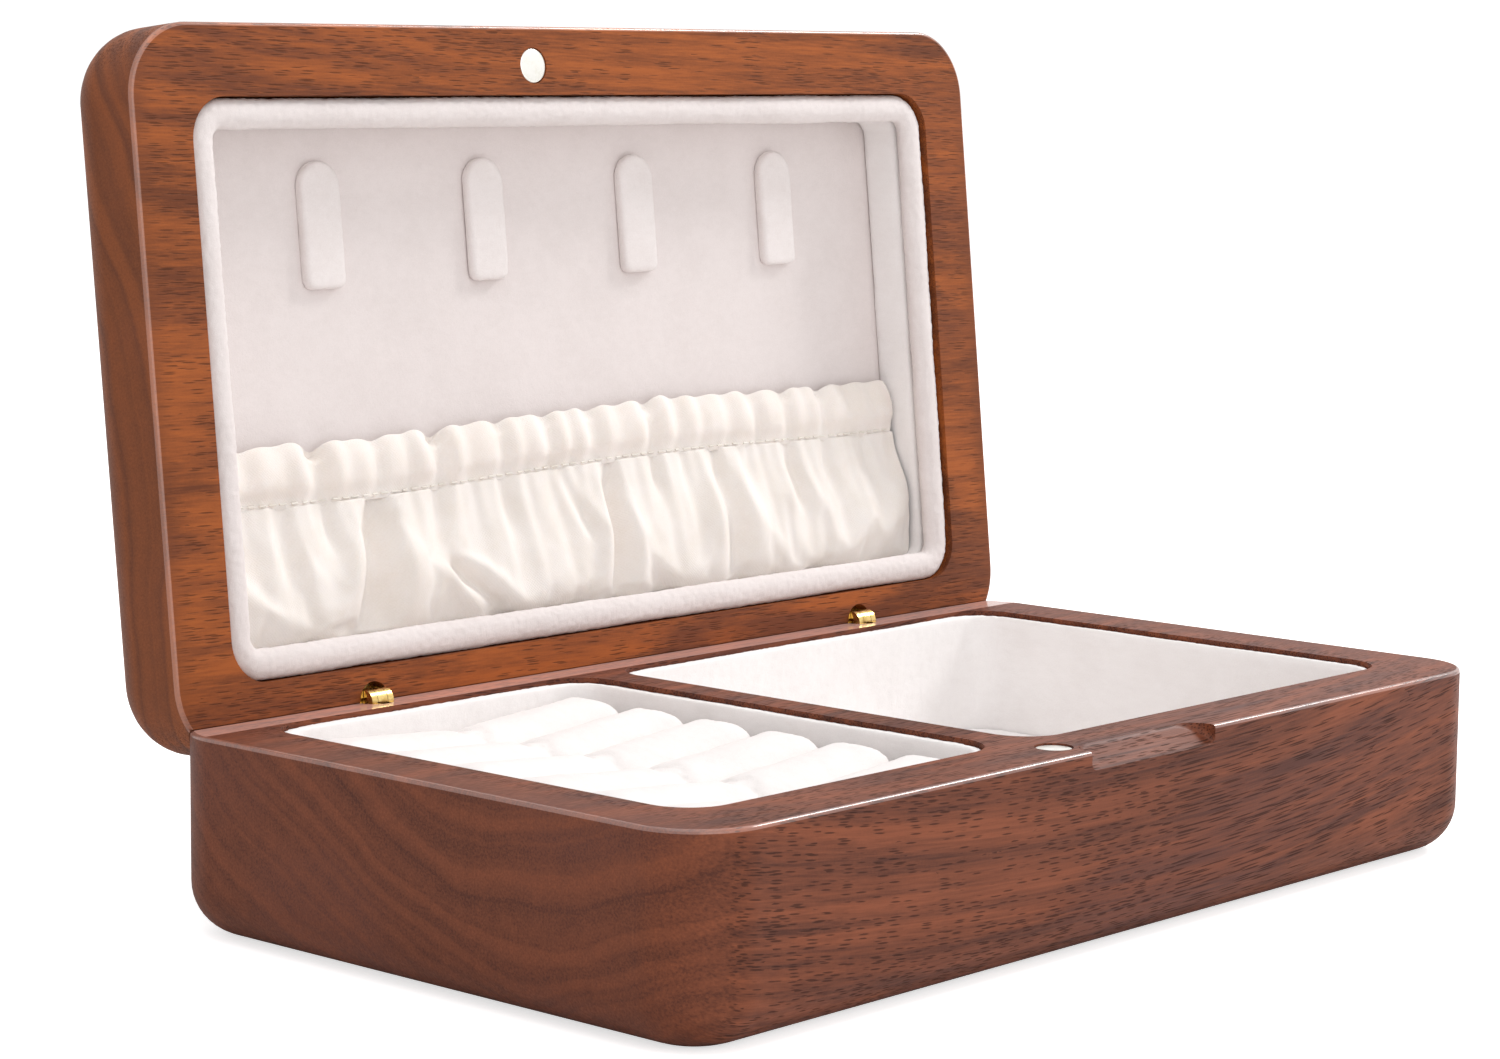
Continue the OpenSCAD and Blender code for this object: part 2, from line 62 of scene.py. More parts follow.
# %% [markdown]
# The lid stands open in the frame, leaning back on its rear bevel. A piece of the lid is
# easier to shape lying flat, so each one is modelled as if the lid were shut, and then
# turned about the hinge line. The hinge's place and its angle are read from the frame.

# %% The hinge line, and the lid's pieces as they lie with the lid shut
hinge = frame["joints"][0]
hinge_point = Vector(hinge["pos_m"])
open_angle = math.radians(hinge["range_deg"][1])
to_hinge = Matrix.Translation(hinge_point)
swing_open = to_hinge @ Matrix.Rotation(-open_angle, 4, "X") @ to_hinge.inverted()
swing_shut = swing_open.inverted()


def shut_box(node):
    """Lowest and highest corner of a lid node with the lid turned shut."""
    points = [swing_shut @ v.co for v in frame["nodes"][node].data.vertices]
    low = Vector([min(p[i] for p in points) for i in range(3)])
    high = Vector([max(p[i] for p in points) for i in range(3)])
    return low, high


lid_low, lid_high = shut_box("lid_body")
print("lid is", round((lid_high.z - lid_low.z) / MM, 1), "mm thick")

# %% [markdown]
# The camera comes first. It stands low at the box's front left corner with a long lens,
# as for a small product photograph, so the far edges shrink little.

# %% Camera
CAMERA_PLACE = Vector((-458.1, -389.1, 136.7)) * MM
CAMERA_HEADING = math.radians(47.9)
CAMERA_DROP = math.radians(7.36)
CAMERA_ROLL = math.radians(0.55)
LENS = 89.4
SENSOR_WIDTH = 36
QUARTER_TURN = math.radians(90)

bpy.ops.object.camera_add()
camera = bpy.context.object
camera.name = "product_camera"
camera.data.lens = LENS
camera.data.sensor_width = SENSOR_WIDTH
camera.data.clip_start = 10 * MM
aim = Matrix.Rotation(-CAMERA_HEADING, 4, "Z") @ Matrix.Rotation(QUARTER_TURN - CAMERA_DROP, 4, "X")
camera.matrix_world = Matrix.Translation(CAMERA_PLACE) @ aim @ Matrix.Rotation(CAMERA_ROLL, 4, "Z")
bpy.context.scene.camera = camera
print("camera is", round((CAMERA_PLACE - hinge_point).length, 2), "m from the hinge line")

# %% [markdown]
# Every surface is a tree of nodes. These short calls add a node, set or link its inputs and
# hand back its result, so that a recipe reads as a few sums.

# %% Node helpers
class Net:
    """Short calls that add nodes to one tree and join them."""

    def __init__(self, tree):
        self.tree = tree

    def add(self, kind, **settings):
        """Add a shader node and set its properties."""
        node = self.tree.nodes.new("ShaderNode" + kind)
        for key, value in settings.items():
            setattr(node, key, value)
        return node

    def fill(self, node, values):
        """Link or set inputs of a node, each named or numbered."""
        for key, value in values.items():
            if isinstance(value, bpy.types.NodeSocket):
                self.tree.links.new(value, node.inputs[key])
            else:
                node.inputs[key].default_value = value
        return node

    def math(self, operation, a, b=0.0, clamp=False):
        node = self.add("Math", operation=operation, use_clamp=clamp)
        return self.fill(node, {0: a, 1: b}).outputs[0]

    def times(self, a, b):
        return self.math("MULTIPLY", a, b)

    def plus(self, a, b, clamp=False):
        return self.math("ADD", a, b, clamp)

    def vector(self, operation, a, b=(0, 0, 0)):
        node = self.fill(self.add("VectorMath", operation=operation), {0: a, 1: b})
        return node.outputs["Value" if operation == "LENGTH" else "Vector"]

    def split(self, place):
        """The X, Y and Z of a place."""
        return self.fill(self.add("SeparateXYZ"), {0: place}).outputs

    def join(self, x, y, z):
        return self.fill(self.add("CombineXYZ"), {0: x, 1: y, 2: z}).outputs[0]

    def noise(self, place, scale, detail=2.0, roughness=0.5, output="Fac"):
        values = {"Vector": place, "Scale": scale, "Detail": detail, "Roughness": roughness}
        return self.fill(self.add("TexNoise"), values).outputs[output]

    def stretched(self, place, cycles, detail=2.0, roughness=0.5, output="Fac"):
        """Noise with its own number of cycles a metre along each axis."""
        return self.noise(self.vector("MULTIPLY", place, cycles), 1.0, detail, roughness, output)

    def span(self, value, low, high, to_low=0.0, to_high=1.0, shape="SMOOTHSTEP"):
        """Map one range to another, easing in and out."""
        node = self.add("MapRange", interpolation_type=shape)
        values = {"Value": value, "From Min": low, "From Max": high, "To Min": to_low, "To Max": to_high}
        return self.fill(node, values).outputs["Result"]

    def ramp(self, value, low, high, to_low, to_high):
        """Map one range to another in a straight line."""
        return self.span(value, low, high, to_low, to_high, "LINEAR")

    def blend(self, share, a, b):
        node = self.add("Mix", data_type="RGBA")
        return self.fill(node, {"Factor": share, 6: a, 7: b}).outputs[2]

    def bump(self, height, strength, depth):
        values = {"Height": height, "Strength": strength, "Distance": depth}
        return self.fill(self.add("Bump"), values).outputs["Normal"]


def new_material(name):
    """A material, its Principled shader and its net."""
    material = bpy.data.materials.new(name)
    material.use_nodes = True
    return material, material.node_tree.nodes["Principled BSDF"], Net(material.node_tree)


# %% [markdown]
# The set is a plain white table in a white room. The room's own light is soft and comes
# from everywhere, and the camera and the glossy edges see it as pure white. A lamp high on
# the right puts a bright line on the front edges and the shadow under the lid's upper wall,
# a wide one in front fills the shadows, and one above lights the wells.

# %% Table and room
WHITE = (1, 1, 1, 1)
TABLE_WHITE = (0.95, 0.95, 0.95, 1)
TABLE_SIZE = 12
TABLE_GLOW = 0.65
ROOM_LIGHT = 0.57
BACKDROP_LIGHT = 1.05

bpy.context.scene.view_settings.view_transform = "Standard"
bpy.ops.mesh.primitive_plane_add(size=TABLE_SIZE, location=(0, 0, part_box("base_body")[0].z))
floor = bpy.context.object
floor.name = "studio_floor"
floor_paint, floor_shader, net = new_material("studio_floor_paint")
net.fill(floor_shader, {
    "Base Color": TABLE_WHITE,
    "Roughness": 0.9,
    "Emission Strength": TABLE_GLOW,
    "Emission Color": net.add("LightPath").outputs["Is Camera Ray"],
})
floor.data.materials.append(floor_paint)

world = bpy.data.worlds.new("studio_world")
world.use_nodes = True
net = Net(world.node_tree)
room = net.fill(world.node_tree.nodes["Background"], {"Color": WHITE, "Strength": ROOM_LIGHT})
backdrop = net.fill(net.add("Background"), {"Color": WHITE, "Strength": BACKDROP_LIGHT})
rays = net.add("LightPath").outputs
seen = net.math("MAXIMUM", rays["Is Camera Ray"], rays["Is Glossy Ray"])
shown = net.fill(net.add("MixShader"), {0: seen, 1: room.outputs[0], 2: backdrop.outputs[0]})
net.fill(world.node_tree.nodes["World Output"], {"Surface": shown.outputs[0]})
bpy.context.scene.world = world


# %% Three soft lamps
def soft_lamp(name, place, target_height, size, watts):
    """A square area lamp that faces the middle of the box."""
    bpy.ops.object.light_add(type="AREA", location=place)
    lamp = bpy.context.object
    lamp.name = name
    lamp.data.shape = "SQUARE"
    lamp.data.size = size
    lamp.data.energy = watts
    aim = Vector((0, 0, target_height)) - Vector(place)
    lamp.rotation_euler = aim.to_track_quat("-Z", "Y").to_euler()
    print(name, "shines at", watts, "watts")


soft_lamp("key_lamp", (0.95, -0.2, 0.88), 0.05, 0.4, 10)
soft_lamp("front_lamp", (-0.35, -1.15, 0.55), 0.06, 1.1, 4.5)
soft_lamp("top_lamp", (-0.25, -0.15, 1.15), 0.03, 0.9, 3.2)

# %% [markdown]
# Modelling in code follows the hand's order: add a primitive, select a few of its edges
# or faces by their place, and run the operator on them. These helpers do the selecting.

# %% Small modelling helpers
def focus(obj):
    """Make one object the only selected and active one."""
    bpy.ops.object.select_all(action="DESELECT")
    obj.select_set(True)
    bpy.context.view_layer.objects.active = obj


def everything(part):
    return True


def edit(obj, part, test, operator, **settings):
    """Run an edit-mode operator on the vertices, edges or faces that pass a test."""
    focus(obj)
    bpy.ops.object.mode_set(mode="EDIT")
    bpy.ops.mesh.select_mode(type=part)
    bpy.ops.mesh.select_all(action="DESELECT")
    bpy.ops.object.mode_set(mode="OBJECT")
    mesh = obj.data
    for item in {"VERT": mesh.vertices, "EDGE": mesh.edges, "FACE": mesh.polygons}[part]:
        item.select = test(item)
    bpy.ops.object.mode_set(mode="EDIT")
    operator(**settings)
    bpy.ops.object.mode_set(mode="OBJECT")


def edit_edges(obj, test, operator, **settings):
    """Run an operator on the edges whose two ends pass a test."""
    def ends_pass(edge):
        return test(*(obj.data.vertices[end].co for end in edge.vertices))
    edit(obj, "EDGE", ends_pass, operator, **settings)


def upright(a, b):
    return abs(a.x - b.x) < NEAR and abs(a.y - b.y) < NEAR


def level_at(z):
    """A test for edges that lie at one height."""
    return lambda a, b: abs(a.z - z) < NEAR and abs(b.z - z) < NEAR


def round_edges(obj, test, radius, steps, material=-1):
    edit_edges(obj, test, bpy.ops.mesh.bevel, offset=radius, segments=steps, affect="EDGES",
               clamp_overlap=False, material=material)


def modify(obj, kind, **settings):
    """Add a modifier, set it and apply it."""
    focus(obj)
    modifier = obj.modifiers.new(kind.lower(), kind)
    for key, value in settings.items():
        setattr(modifier, key, value)
    bpy.ops.object.modifier_apply(modifier=modifier.name)


def settle(obj):
    """Put the object's place, turn and size into its mesh."""
    focus(obj)
    bpy.ops.object.transform_apply(location=True, rotation=True, scale=True)


def shade_soft(obj):
    focus(obj)
    bpy.ops.object.shade_smooth()


def shade_by_angle(obj, degrees):
    """Smooth shading that keeps an edge where the faces turn sharply."""
    focus(obj)
    bpy.ops.object.shade_smooth_by_angle(angle=math.radians(degrees))


# %% Shapes to start from, and cutting
ROUND_STEPS = 12


def start_shape(name, primitive, **settings):
    """Add a primitive, which is then shaped further."""
    bpy.ops.object.select_all(action="DESELECT")
    primitive(**settings)
    obj = bpy.context.object
    obj.name = obj.data.name = name
    return obj


def block(name, low, high, corner=0.0, steps=ROUND_STEPS):
    """A block between two corners, with its upright edges rounded."""
    obj = start_shape(name, bpy.ops.mesh.primitive_cube_add, size=1, location=(low + high) / 2)
    obj.scale = high - low
    settle(obj)
    if corner:
        round_edges(obj, upright, corner, steps)
    return obj


def peg(name, centre, radius, low_z, high_z, sides=48):
    """An upright cylinder."""
    obj = start_shape(name, bpy.ops.mesh.primitive_cylinder_add, vertices=sides, radius=radius,
                      depth=high_z - low_z, location=(centre.x, centre.y, (low_z + high_z) / 2))
    settle(obj)
    return obj


def carve(obj, cutters):
    """Cut each cutter out of the object, and throw the cutter away."""
    for cutter in cutters:
        modify(obj, "BOOLEAN", object=cutter, operation="DIFFERENCE", solver="EXACT")
        bpy.data.objects.remove(cutter)


def open_lid(obj):
    """Turn a piece that was modelled with the lid shut to the open lid."""
    obj.matrix_world = swing_open @ obj.matrix_world
    settle(obj)
    return obj


def enrol(obj, body, slot, *nodes):
    """Hide the nodes a finished piece stands for, and hang it on the body it rides on; its slot is not used.
    """
    if nodes:
        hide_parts(*nodes)
    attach(obj, body)
    print(obj.name, "has", len(obj.data.polygons), "faces")


def dress(obj, body, slot, material, *nodes):
    """Give a finished piece its one material, and enrol it."""
    obj.data.materials.clear()
    obj.data.materials.append(material)
    enrol(obj, body, slot, *nodes)


# %% [markdown]
# Walnut is coloured in three dimensions, because the same block shows long grain on its
# front and end grain on its sides. Growth rings are shells round a pith line that runs
# along X, some way outside the block, so they show as arcs on the ends and as long bands on
# the faces. A slow noise bends the shells. Pores are cells stretched along X: short dark
# dashes, crowded in some bands, which sway with the grain. One node group does this, and
# each wood sets its own values.

# %% The walnut group
BENDS = (((5.0, 14.0, 14.0), 26 * MM), ((16.0, 70.0, 70.0), 3 * MM))
FIBRE_CYCLES = (40.0, 2600.0, 2600.0)
STREAK_CYCLES = (11.0, 420.0, 420.0)
CLOUD_CYCLES = (22.0, 60.0, 60.0)
HEART_CYCLES = (9.0, 30.0, 30.0)
SPECK_CYCLES = 2400.0
PORE_TURN = 10 * MM
END_FADE = 5 * MM


def new_group(name, inputs, recipe):
    """A node group with named inputs, whose recipe returns a colour, a roughness and a height."""
    tree = bpy.data.node_groups.new(name, "ShaderNodeTree")
    for label, value in inputs.items():
        kind = "Float" if isinstance(value, float) else {3: "Vector", 4: "Color"}[len(value)]
        socket = tree.interface.new_socket(name=label, in_out="INPUT", socket_type="NodeSocket" + kind)
        socket.default_value = value
    for label, kind in (("Colour", "Color"), ("Roughness", "Float"), ("Height", "Float")):
        tree.interface.new_socket(name=label, in_out="OUTPUT", socket_type="NodeSocket" + kind)
    net = Net(tree)
    colour, roughness, height = recipe(net, tree.nodes.new("NodeGroupInput").outputs)
    results = {"Colour": colour, "Roughness": roughness, "Height": height}
    net.fill(tree.nodes.new("NodeGroupOutput"), results)
    return tree


def walnut_figure(net, given):
    """Rings, fibres, streaks and pores, from a place in the block."""
    place = given["Place"]
    x, y, z = net.split(place)
    # Slow bends of the growth shells, long in X and short across it
    bent = place
    for cycles, reach in BENDS:
        drift = net.vector("SUBTRACT", net.stretched(place, cycles, output="Color"), (0.5, 0.5, 0.5))
        bent = net.vector("ADD", bent, net.vector("MULTIPLY", drift, (0.0, reach, reach)))
    from_pith = net.vector("MULTIPLY", net.vector("SUBTRACT", bent, given["Pith"]), (0.0, 1.0, 1.0))
    rings = net.math("DIVIDE", net.vector("LENGTH", from_pith), given["Ring Width"])
    # Soft uneven bands, and a narrow line at the end of each year
    uneven = net.fill(net.add("TexNoise", noise_dimensions="1D"), {"W": rings, "Scale": 1.1, "Detail": 3.0})
    band = uneven.outputs["Fac"]
    year = net.math("FRACT", rings)
    late = net.times(net.span(year, 0.55, 0.93), net.span(year, 1.0, 0.93))
    # Fibres, and long streaks of tone
    fibre = net.stretched(place, FIBRE_CYCLES, 3.0, 0.65)
    streak = net.stretched(place, STREAK_CYCLES, 3.0, 0.6)
    cloud = net.stretched(place, CLOUD_CYCLES, 3.0, 0.6)
    # Pores: one stretched cell each, longer to the right, and faint on the end faces
    stretch = net.plus(net.times(net.math("MINIMUM", x, PORE_TURN), given["Short Pores"]),
                       net.times(net.math("MAXIMUM", x, PORE_TURN), given["Long Pores"]))
    fineness = given["Pore Fineness"]
    porous = net.join(stretch, net.times(y, fineness), net.times(z, fineness))
    cell = net.fill(net.add("TexVoronoi"), {"Vector": porous, "Scale": 1.0})
    chance = net.fill(net.add("SeparateColor"), {0: cell.outputs["Color"]}).outputs["Red"]
    crowd = net.times(net.span(cloud, 0.36, 0.6, 0.3, 1.2), net.span(band, 0.35, 0.6, 0.7, 1.2))
    present = net.math("LESS_THAN", chance, net.times(given["Pore Share"], crowd))
    end_stop = net.plus(given["End Start"], END_FADE)
    side = net.span(net.math("ABSOLUTE", x), given["End Start"], end_stop, 1.0, 0.12)
    pore = net.times(net.times(net.span(cell.outputs["Distance"], 0.46, 0.24), present), side)
    # Mix the tones
    bands = net.times(net.ramp(band, 0.3, 0.68, -0.5, 0.5), given["Band Contrast"])
    tone = net.plus(net.plus(0.5, bands), net.times(late, 0.14))
    mottle = net.plus(net.span(cloud, 0.32, 0.68, -0.12, 0.16), net.ramp(streak, 0.3, 0.7, -0.34, 0.34))
    tone = net.plus(tone, net.times(mottle, net.math("MAXIMUM", side, 0.3)))
    tone = net.plus(tone, net.ramp(fibre, 0.3, 0.7, -0.28, 0.28))
    speck = net.noise(place, SPECK_CYCLES, 1.0)
    tone = net.plus(tone, net.ramp(speck, 0.3, 0.7, -0.05, 0.05), clamp=True)
    heart = net.span(net.stretched(place, HEART_CYCLES), 0.42, 0.62)
    dark = net.blend(heart, given["Dark Wood"], given["Heart Wood"])
    colour = net.blend(tone, given["Light Wood"], dark)
    colour = net.blend(net.times(pore, 0.7), colour, given["Pore Colour"])
    # End Shade darkens the end faces: partly end grain's own darker tone, partly painted shade.
    end = net.times(net.math("SUBTRACT", 1.0, side), given["End Shade"])
    roughness = net.plus(net.ramp(fibre, 0.3, 0.7, 0.5, 0.62), net.times(pore, 0.3))
    return net.blend(end, colour, dark), roughness, net.math("SUBTRACT", net.times(fibre, 0.25), pore)


# %% [markdown]
# Both woods use the group, turned so that the grain follows its own block. The lid's block is
# redder and calmer than the base's. Some of the wood is painted paler and given a polish: a
# little on the closing edges, partly burnish and partly a painted highlight, and fully on the
# base's rear strip, where the pale tone is a painted highlight.

# %% The walnut of the base and of the lid
BASE_WOOD = {
    "Pith": (0.0, -0.022, 0.062),
    "Ring Width": 4 * MM,
    "Light Wood": (0.235, 0.064, 0.026, 1),
    "Dark Wood": (0.075, 0.020, 0.010, 1),
    "Heart Wood": (0.090, 0.028, 0.019, 1),
    "Pore Colour": (0.030, 0.011, 0.007, 1),
    "Pore Share": 1.25,
    "Short Pores": 270.0,
    "Long Pores": 110.0,
    "Pore Fineness": 2700.0,
    "End Shade": 0.0,
    "End Start": 0.0905,
    "Band Contrast": 0.35,
}
LID_WOOD = {
    "Pith": (0.0, -0.067, 0.175),
    "Ring Width": 4 * MM,
    "Light Wood": (0.350, 0.090, 0.018, 1),
    "Dark Wood": (0.125, 0.032, 0.009, 1),
    "Heart Wood": (0.150, 0.040, 0.014, 1),
    "Pore Colour": (0.070, 0.022, 0.009, 1),
    "Pore Share": 0.8,
    "Short Pores": 150.0,
    "Long Pores": 90.0,
    "Pore Fineness": 3200.0,
    # The lid's end faces are darkened: partly end grain, partly painted shade on them.
    "End Shade": 0.55,
    "End Start": 0.0955,
    "Band Contrast": 0.6,
}
walnut_group = new_group("walnut_figure", {"Place": (0.0, 0.0, 0.0), **BASE_WOOD}, walnut_figure)
print("walnut group has", len(walnut_group.nodes), "nodes")
TONES = ("Light Wood", "Dark Wood", "Heart Wood", "Pore Colour")
OILED = {"Specular IOR Level": 0.18, "Coat Weight": 0.08, "Coat Roughness": 0.3}
POLISHED = {"Specular IOR Level": 0.18, "Coat Weight": 1.0, "Coat Roughness": 0.16}
WOOD_RELIEF = (0.3, 0.15 * MM)


def turned(net, place, rotation):
    """Coordinates turned, so that a pattern follows its piece."""
    return net.fill(net.add("Mapping"), {"Vector": place, "Rotation": rotation}).outputs["Vector"]


def swayed(net, place, tilt, sway):
    """Grain that leaves the X axis: a steady tilt, and a sway that grows along the block."""
    x, y, z = net.split(place)
    drift = net.plus(net.times(x, tilt), net.times(net.times(x, x), sway))
    return net.join(x, net.math("SUBTRACT", y, net.times(drift, 0.4)), net.math("SUBTRACT", z, drift))


def figured_material(name, group, values, relief, finish, lay=None):
    """A material from one node group; its lay turns the object's coordinates to the piece."""
    material, shader, net = new_material(name)
    place = net.add("TexCoord").outputs["Object"]
    figure = net.add("Group", node_tree=group)
    net.fill(figure, {"Place": lay(net, place) if lay else place, **values})
    net.fill(shader, {
        "Base Color": figure.outputs["Colour"],
        "Roughness": figure.outputs["Roughness"],
        "Normal": net.bump(figure.outputs["Height"], *relief),
        **finish,
    })
    return material


def walnut_material(name, wood, wear_and_highlight=0.0, lean=0.0, tilt=0.0, sway=0.0):
    """Walnut from its own values; its paleness, up to 1, lightens the tones and adds a polish: partly
    burnish, partly a painted highlight.
    """
    values = dict(wood)
    for label in TONES:
        # Paler tones: partly burnish on the edges, and a painted highlight on the edges and on the rear
        # strip.
        values[label] = (*((1 + 1.4 * wear_and_highlight) * part + 0.2 * wear_and_highlight for part in wood[label][:3]), 1)

    def lay(net, place):
        return swayed(net, turned(net, place, (lean, 0, 0)), tilt, sway)

    return figured_material(name, walnut_group, values, WOOD_RELIEF, POLISHED if wear_and_highlight else OILED, lay)


def base_walnut(name, wear_and_highlight=0.0):
    return walnut_material(name, BASE_WOOD, wear_and_highlight, sway=0.8)


def lid_walnut(name, wear_and_highlight=0.0):
    return walnut_material(name, LID_WOOD, wear_and_highlight, lean=open_angle, tilt=0.06)


# %% [markdown]
# The base starts as one block. Its upright corners are rounded first, then the lower rim,
# so that the second round-over runs round the corners as a router bit would. A tiny bevel on
# the closing rim is polished, so it catches the light, and painted paler: partly burnish,
# partly a painted highlight. Last, the block is sliced along its rear edge, which makes the
# bevel that stops the open lid.

# %% The base's walnut block
CORNER = 12 * MM
CORNER_STEPS = 20
ROUNDOVER = 8.5 * MM
ARRIS = 0.6 * MM
ARRIS_STEPS = 4
ARRIS_MATERIAL = 1
HIGHLIGHT_STRIP_MATERIAL = 2
LINING_GAP = 0.1 * MM


def walnut_block(name, low, high, outer_z, closing_z, wood, burnish_and_highlight):
    """A block with round upright corners, a round outer rim and, on the other, a polished arris painted
    paler: partly burnish, partly a painted highlight.
    """
    obj = block(name, low, high, CORNER, CORNER_STEPS)
    obj.data.materials.append(wood)
    obj.data.materials.append(burnish_and_highlight)
    round_edges(obj, level_at(outer_z), ROUNDOVER, ROUND_STEPS)
    round_edges(obj, level_at(closing_z), ARRIS, ARRIS_STEPS, material=ARRIS_MATERIAL)
    return obj


def slice_off(obj, point, direction):
    """Cut away what lies beyond a plane, and close the cut."""
    edit(obj, "VERT", everything, bpy.ops.mesh.bisect, plane_co=point, plane_no=direction,
         use_fill=True, clear_outer=True)


base_low, base_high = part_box("base_body")
base_wood = walnut_block("base_wood", base_low, base_high, base_low.z, base_high.z,
                         base_walnut("base_walnut"), base_walnut("base_walnut_arris", wear_and_highlight=0.3))
half_open = open_angle / 2
bevel_up = Vector((0, math.sin(half_open), math.cos(half_open)))
slice_off(base_wood, Vector((0, hinge_point.y, base_high.z)), bevel_up)

# %% [markdown]
# The strip behind the wells is marked off by a cut across the block and given the palest
# polished walnut: a painted highlight along the rear edge.

# %% The painted highlight strip along the rear edge
base_wood.data.materials.append(base_walnut("base_walnut_painted_highlight", wear_and_highlight=1.0))
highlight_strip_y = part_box("open_well_wall_lining")[1].y + LINING_GAP
edit(base_wood, "VERT", everything, bpy.ops.mesh.bisect, plane_co=(0, highlight_strip_y, 0), plane_no=(0, 1, 0))
# The strip's top faces take the palest walnut: a painted highlight.
highlight_strip_faces = [f for f in base_wood.data.polygons if f.normal.z > 0.99 and f.center.y > highlight_strip_y]
for face in highlight_strip_faces:
    face.material_index = HIGHLIGHT_STRIP_MATERIAL
print("painted highlight strip has", len(highlight_strip_faces), "faces")

# %% [markdown]
# The wells, the thumb notch and the bores are cut out of the block, each by a cutter of its
# own shape. The notch is a shallow scoop in the front edge, and its floor falls towards
# the front, so that a thumb slides in under the lid.

# %% Wells, thumb notch and bores of the base
WELL_CORNER = 7.5 * MM
WELL_CLEARANCE = 20 * MM
OVERCUT = 1 * MM
BORE_GAP = 0.05 * MM
HINGE_BORE = 10.5 * MM
NOTCH_MIDDLE = 3 * MM
NOTCH_LENGTH = 32 * MM
NOTCH_REACH = 5.5 * MM
NOTCH_DEPTH = 3 * MM
NOTCH_TURN = 5 * MM
NOTCH_FLOOR_ROUND = 1.2 * MM
NOTCH_SLOPE = 0.56


def well_cutter(node, floor_z):
    """A rounded block that fills a well and stands clear above it."""
    low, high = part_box(node)
    grow = Vector((LINING_GAP, LINING_GAP, 0))
    top = Vector((high.x, high.y, high.z + WELL_CLEARANCE))
    return block("cutter", Vector((low.x, low.y, floor_z)) - grow, top + grow, WELL_CORNER)


def hinge_bore(node_box, low_z, high_z):
    middle = (node_box[0] + node_box[1]) / 2
    radius = (node_box[1].x - node_box[0].x) / 2
    return peg("cutter", Vector((middle.x, hinge_point.y, 0)), radius + BORE_GAP, low_z, high_z)


floor_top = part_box("open_well_floor_board")[0].z
carve(base_wood, [well_cutter(well + "_wall_lining", floor_top) for well in ("ring_well", "open_well")])

half_notch = NOTCH_LENGTH / 2
notch_low = Vector((NOTCH_MIDDLE - half_notch, base_low.y - 2 * NOTCH_REACH, base_high.z - NOTCH_DEPTH))
notch_high = Vector((NOTCH_MIDDLE + half_notch, base_low.y + NOTCH_REACH, base_high.z + 2 * NOTCH_DEPTH))
notch = block("cutter", notch_low, notch_high, NOTCH_TURN)
round_edges(notch, level_at(notch_low.z), NOTCH_FLOOR_ROUND, 6)
for vertex in notch.data.vertices:
    if vertex.co.z < base_high.z:
        vertex.co.z += (vertex.co.y - base_low.y) * NOTCH_SLOPE

magnet_low, magnet_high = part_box("base_magnet")
magnet_middle = (magnet_low + magnet_high) / 2
magnet_radius = (magnet_high.x - magnet_low.x) / 2
magnet_bore = peg("cutter", magnet_middle, magnet_radius + BORE_GAP, magnet_low.z, base_high.z + OVERCUT)
base_bores = [
    hinge_bore(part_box("base_hinge_barrel_" + side), base_high.z - HINGE_BORE, base_high.z + OVERCUT)
    for side in ("left", "right")
]
carve(base_wood, [notch, magnet_bore] + base_bores)


def shade_wood(obj):
    """Smooth shading that leaves the flat faces flat."""
    shade_by_angle(obj, 40)
    modify(obj, "WEIGHTED_NORMAL", keep_sharp=True, weight=80)


shade_wood(base_wood)
enrol(base_wood, "base", "walnut", "base_body")

# %% [markdown]
# The lid is cut from a second block in the same way, lying shut, with its rounded rim on
# top and its recess below. Then it is turned open about the hinge line.

# %% The lid's walnut block
RECESS_CORNER = 7 * MM
RECESS_CLEARANCE = 5 * MM

lid_wood = walnut_block("lid_wood", lid_low, lid_high, lid_high.z, lid_low.z,
                        lid_walnut("lid_walnut"), lid_walnut("lid_walnut_arris", wear_and_highlight=0.3))
bevel_down = Vector((0, math.sin(half_open), -math.cos(half_open)))
slice_off(lid_wood, Vector((0, hinge_point.y, lid_low.z)), bevel_down)

board_low, board_high = shut_box("lid_back_board")
grow = Vector((LINING_GAP, LINING_GAP, 0))
recess_low = Vector((board_low.x, board_low.y, lid_low.z - RECESS_CLEARANCE)) - grow
recess = block("cutter", recess_low, board_high + grow, RECESS_CORNER)
lid_magnet_low, lid_magnet_high = shut_box("lid_magnet")
lid_magnet_middle = (lid_magnet_low + lid_magnet_high) / 2
lid_magnet_bore = peg("cutter", lid_magnet_middle, magnet_radius + BORE_GAP, lid_low.z - OVERCUT,
                      lid_magnet_high.z)
lid_bores = [
    hinge_bore(shut_box("lid_hinge_barrel_" + side), lid_low.z - OVERCUT, lid_low.z + HINGE_BORE)
    for side in ("left", "right")
]
carve(lid_wood, [recess, lid_magnet_bore] + lid_bores)
shade_wood(lid_wood)
enrol(open_lid(lid_wood), "lid", "walnut", "lid_body")

# %% [markdown]
# Velvet is a short pile on a backing. From a hand's length away it reads as a soft white
# surface with a faint cloudy tone, where the pile lies one way or another, and a grain as
# fine as the fibres. Its edge glows, because light catches the tips: that is the shader's
# sheen. Each place has its own tones: the velvet of the wells and of the lid's walls is paler,
# as painted light in their shade, and the rim's is darker, as painted shade on its lit top.

# %% Velvet
VELVET_SHEEN = {"Sheen Weight": 0.2, "Sheen Roughness": 0.5, "Specular IOR Level": 0.15}
LINING_NAP = 0.12 * MM
PADDED_NAP = 0.15 * MM


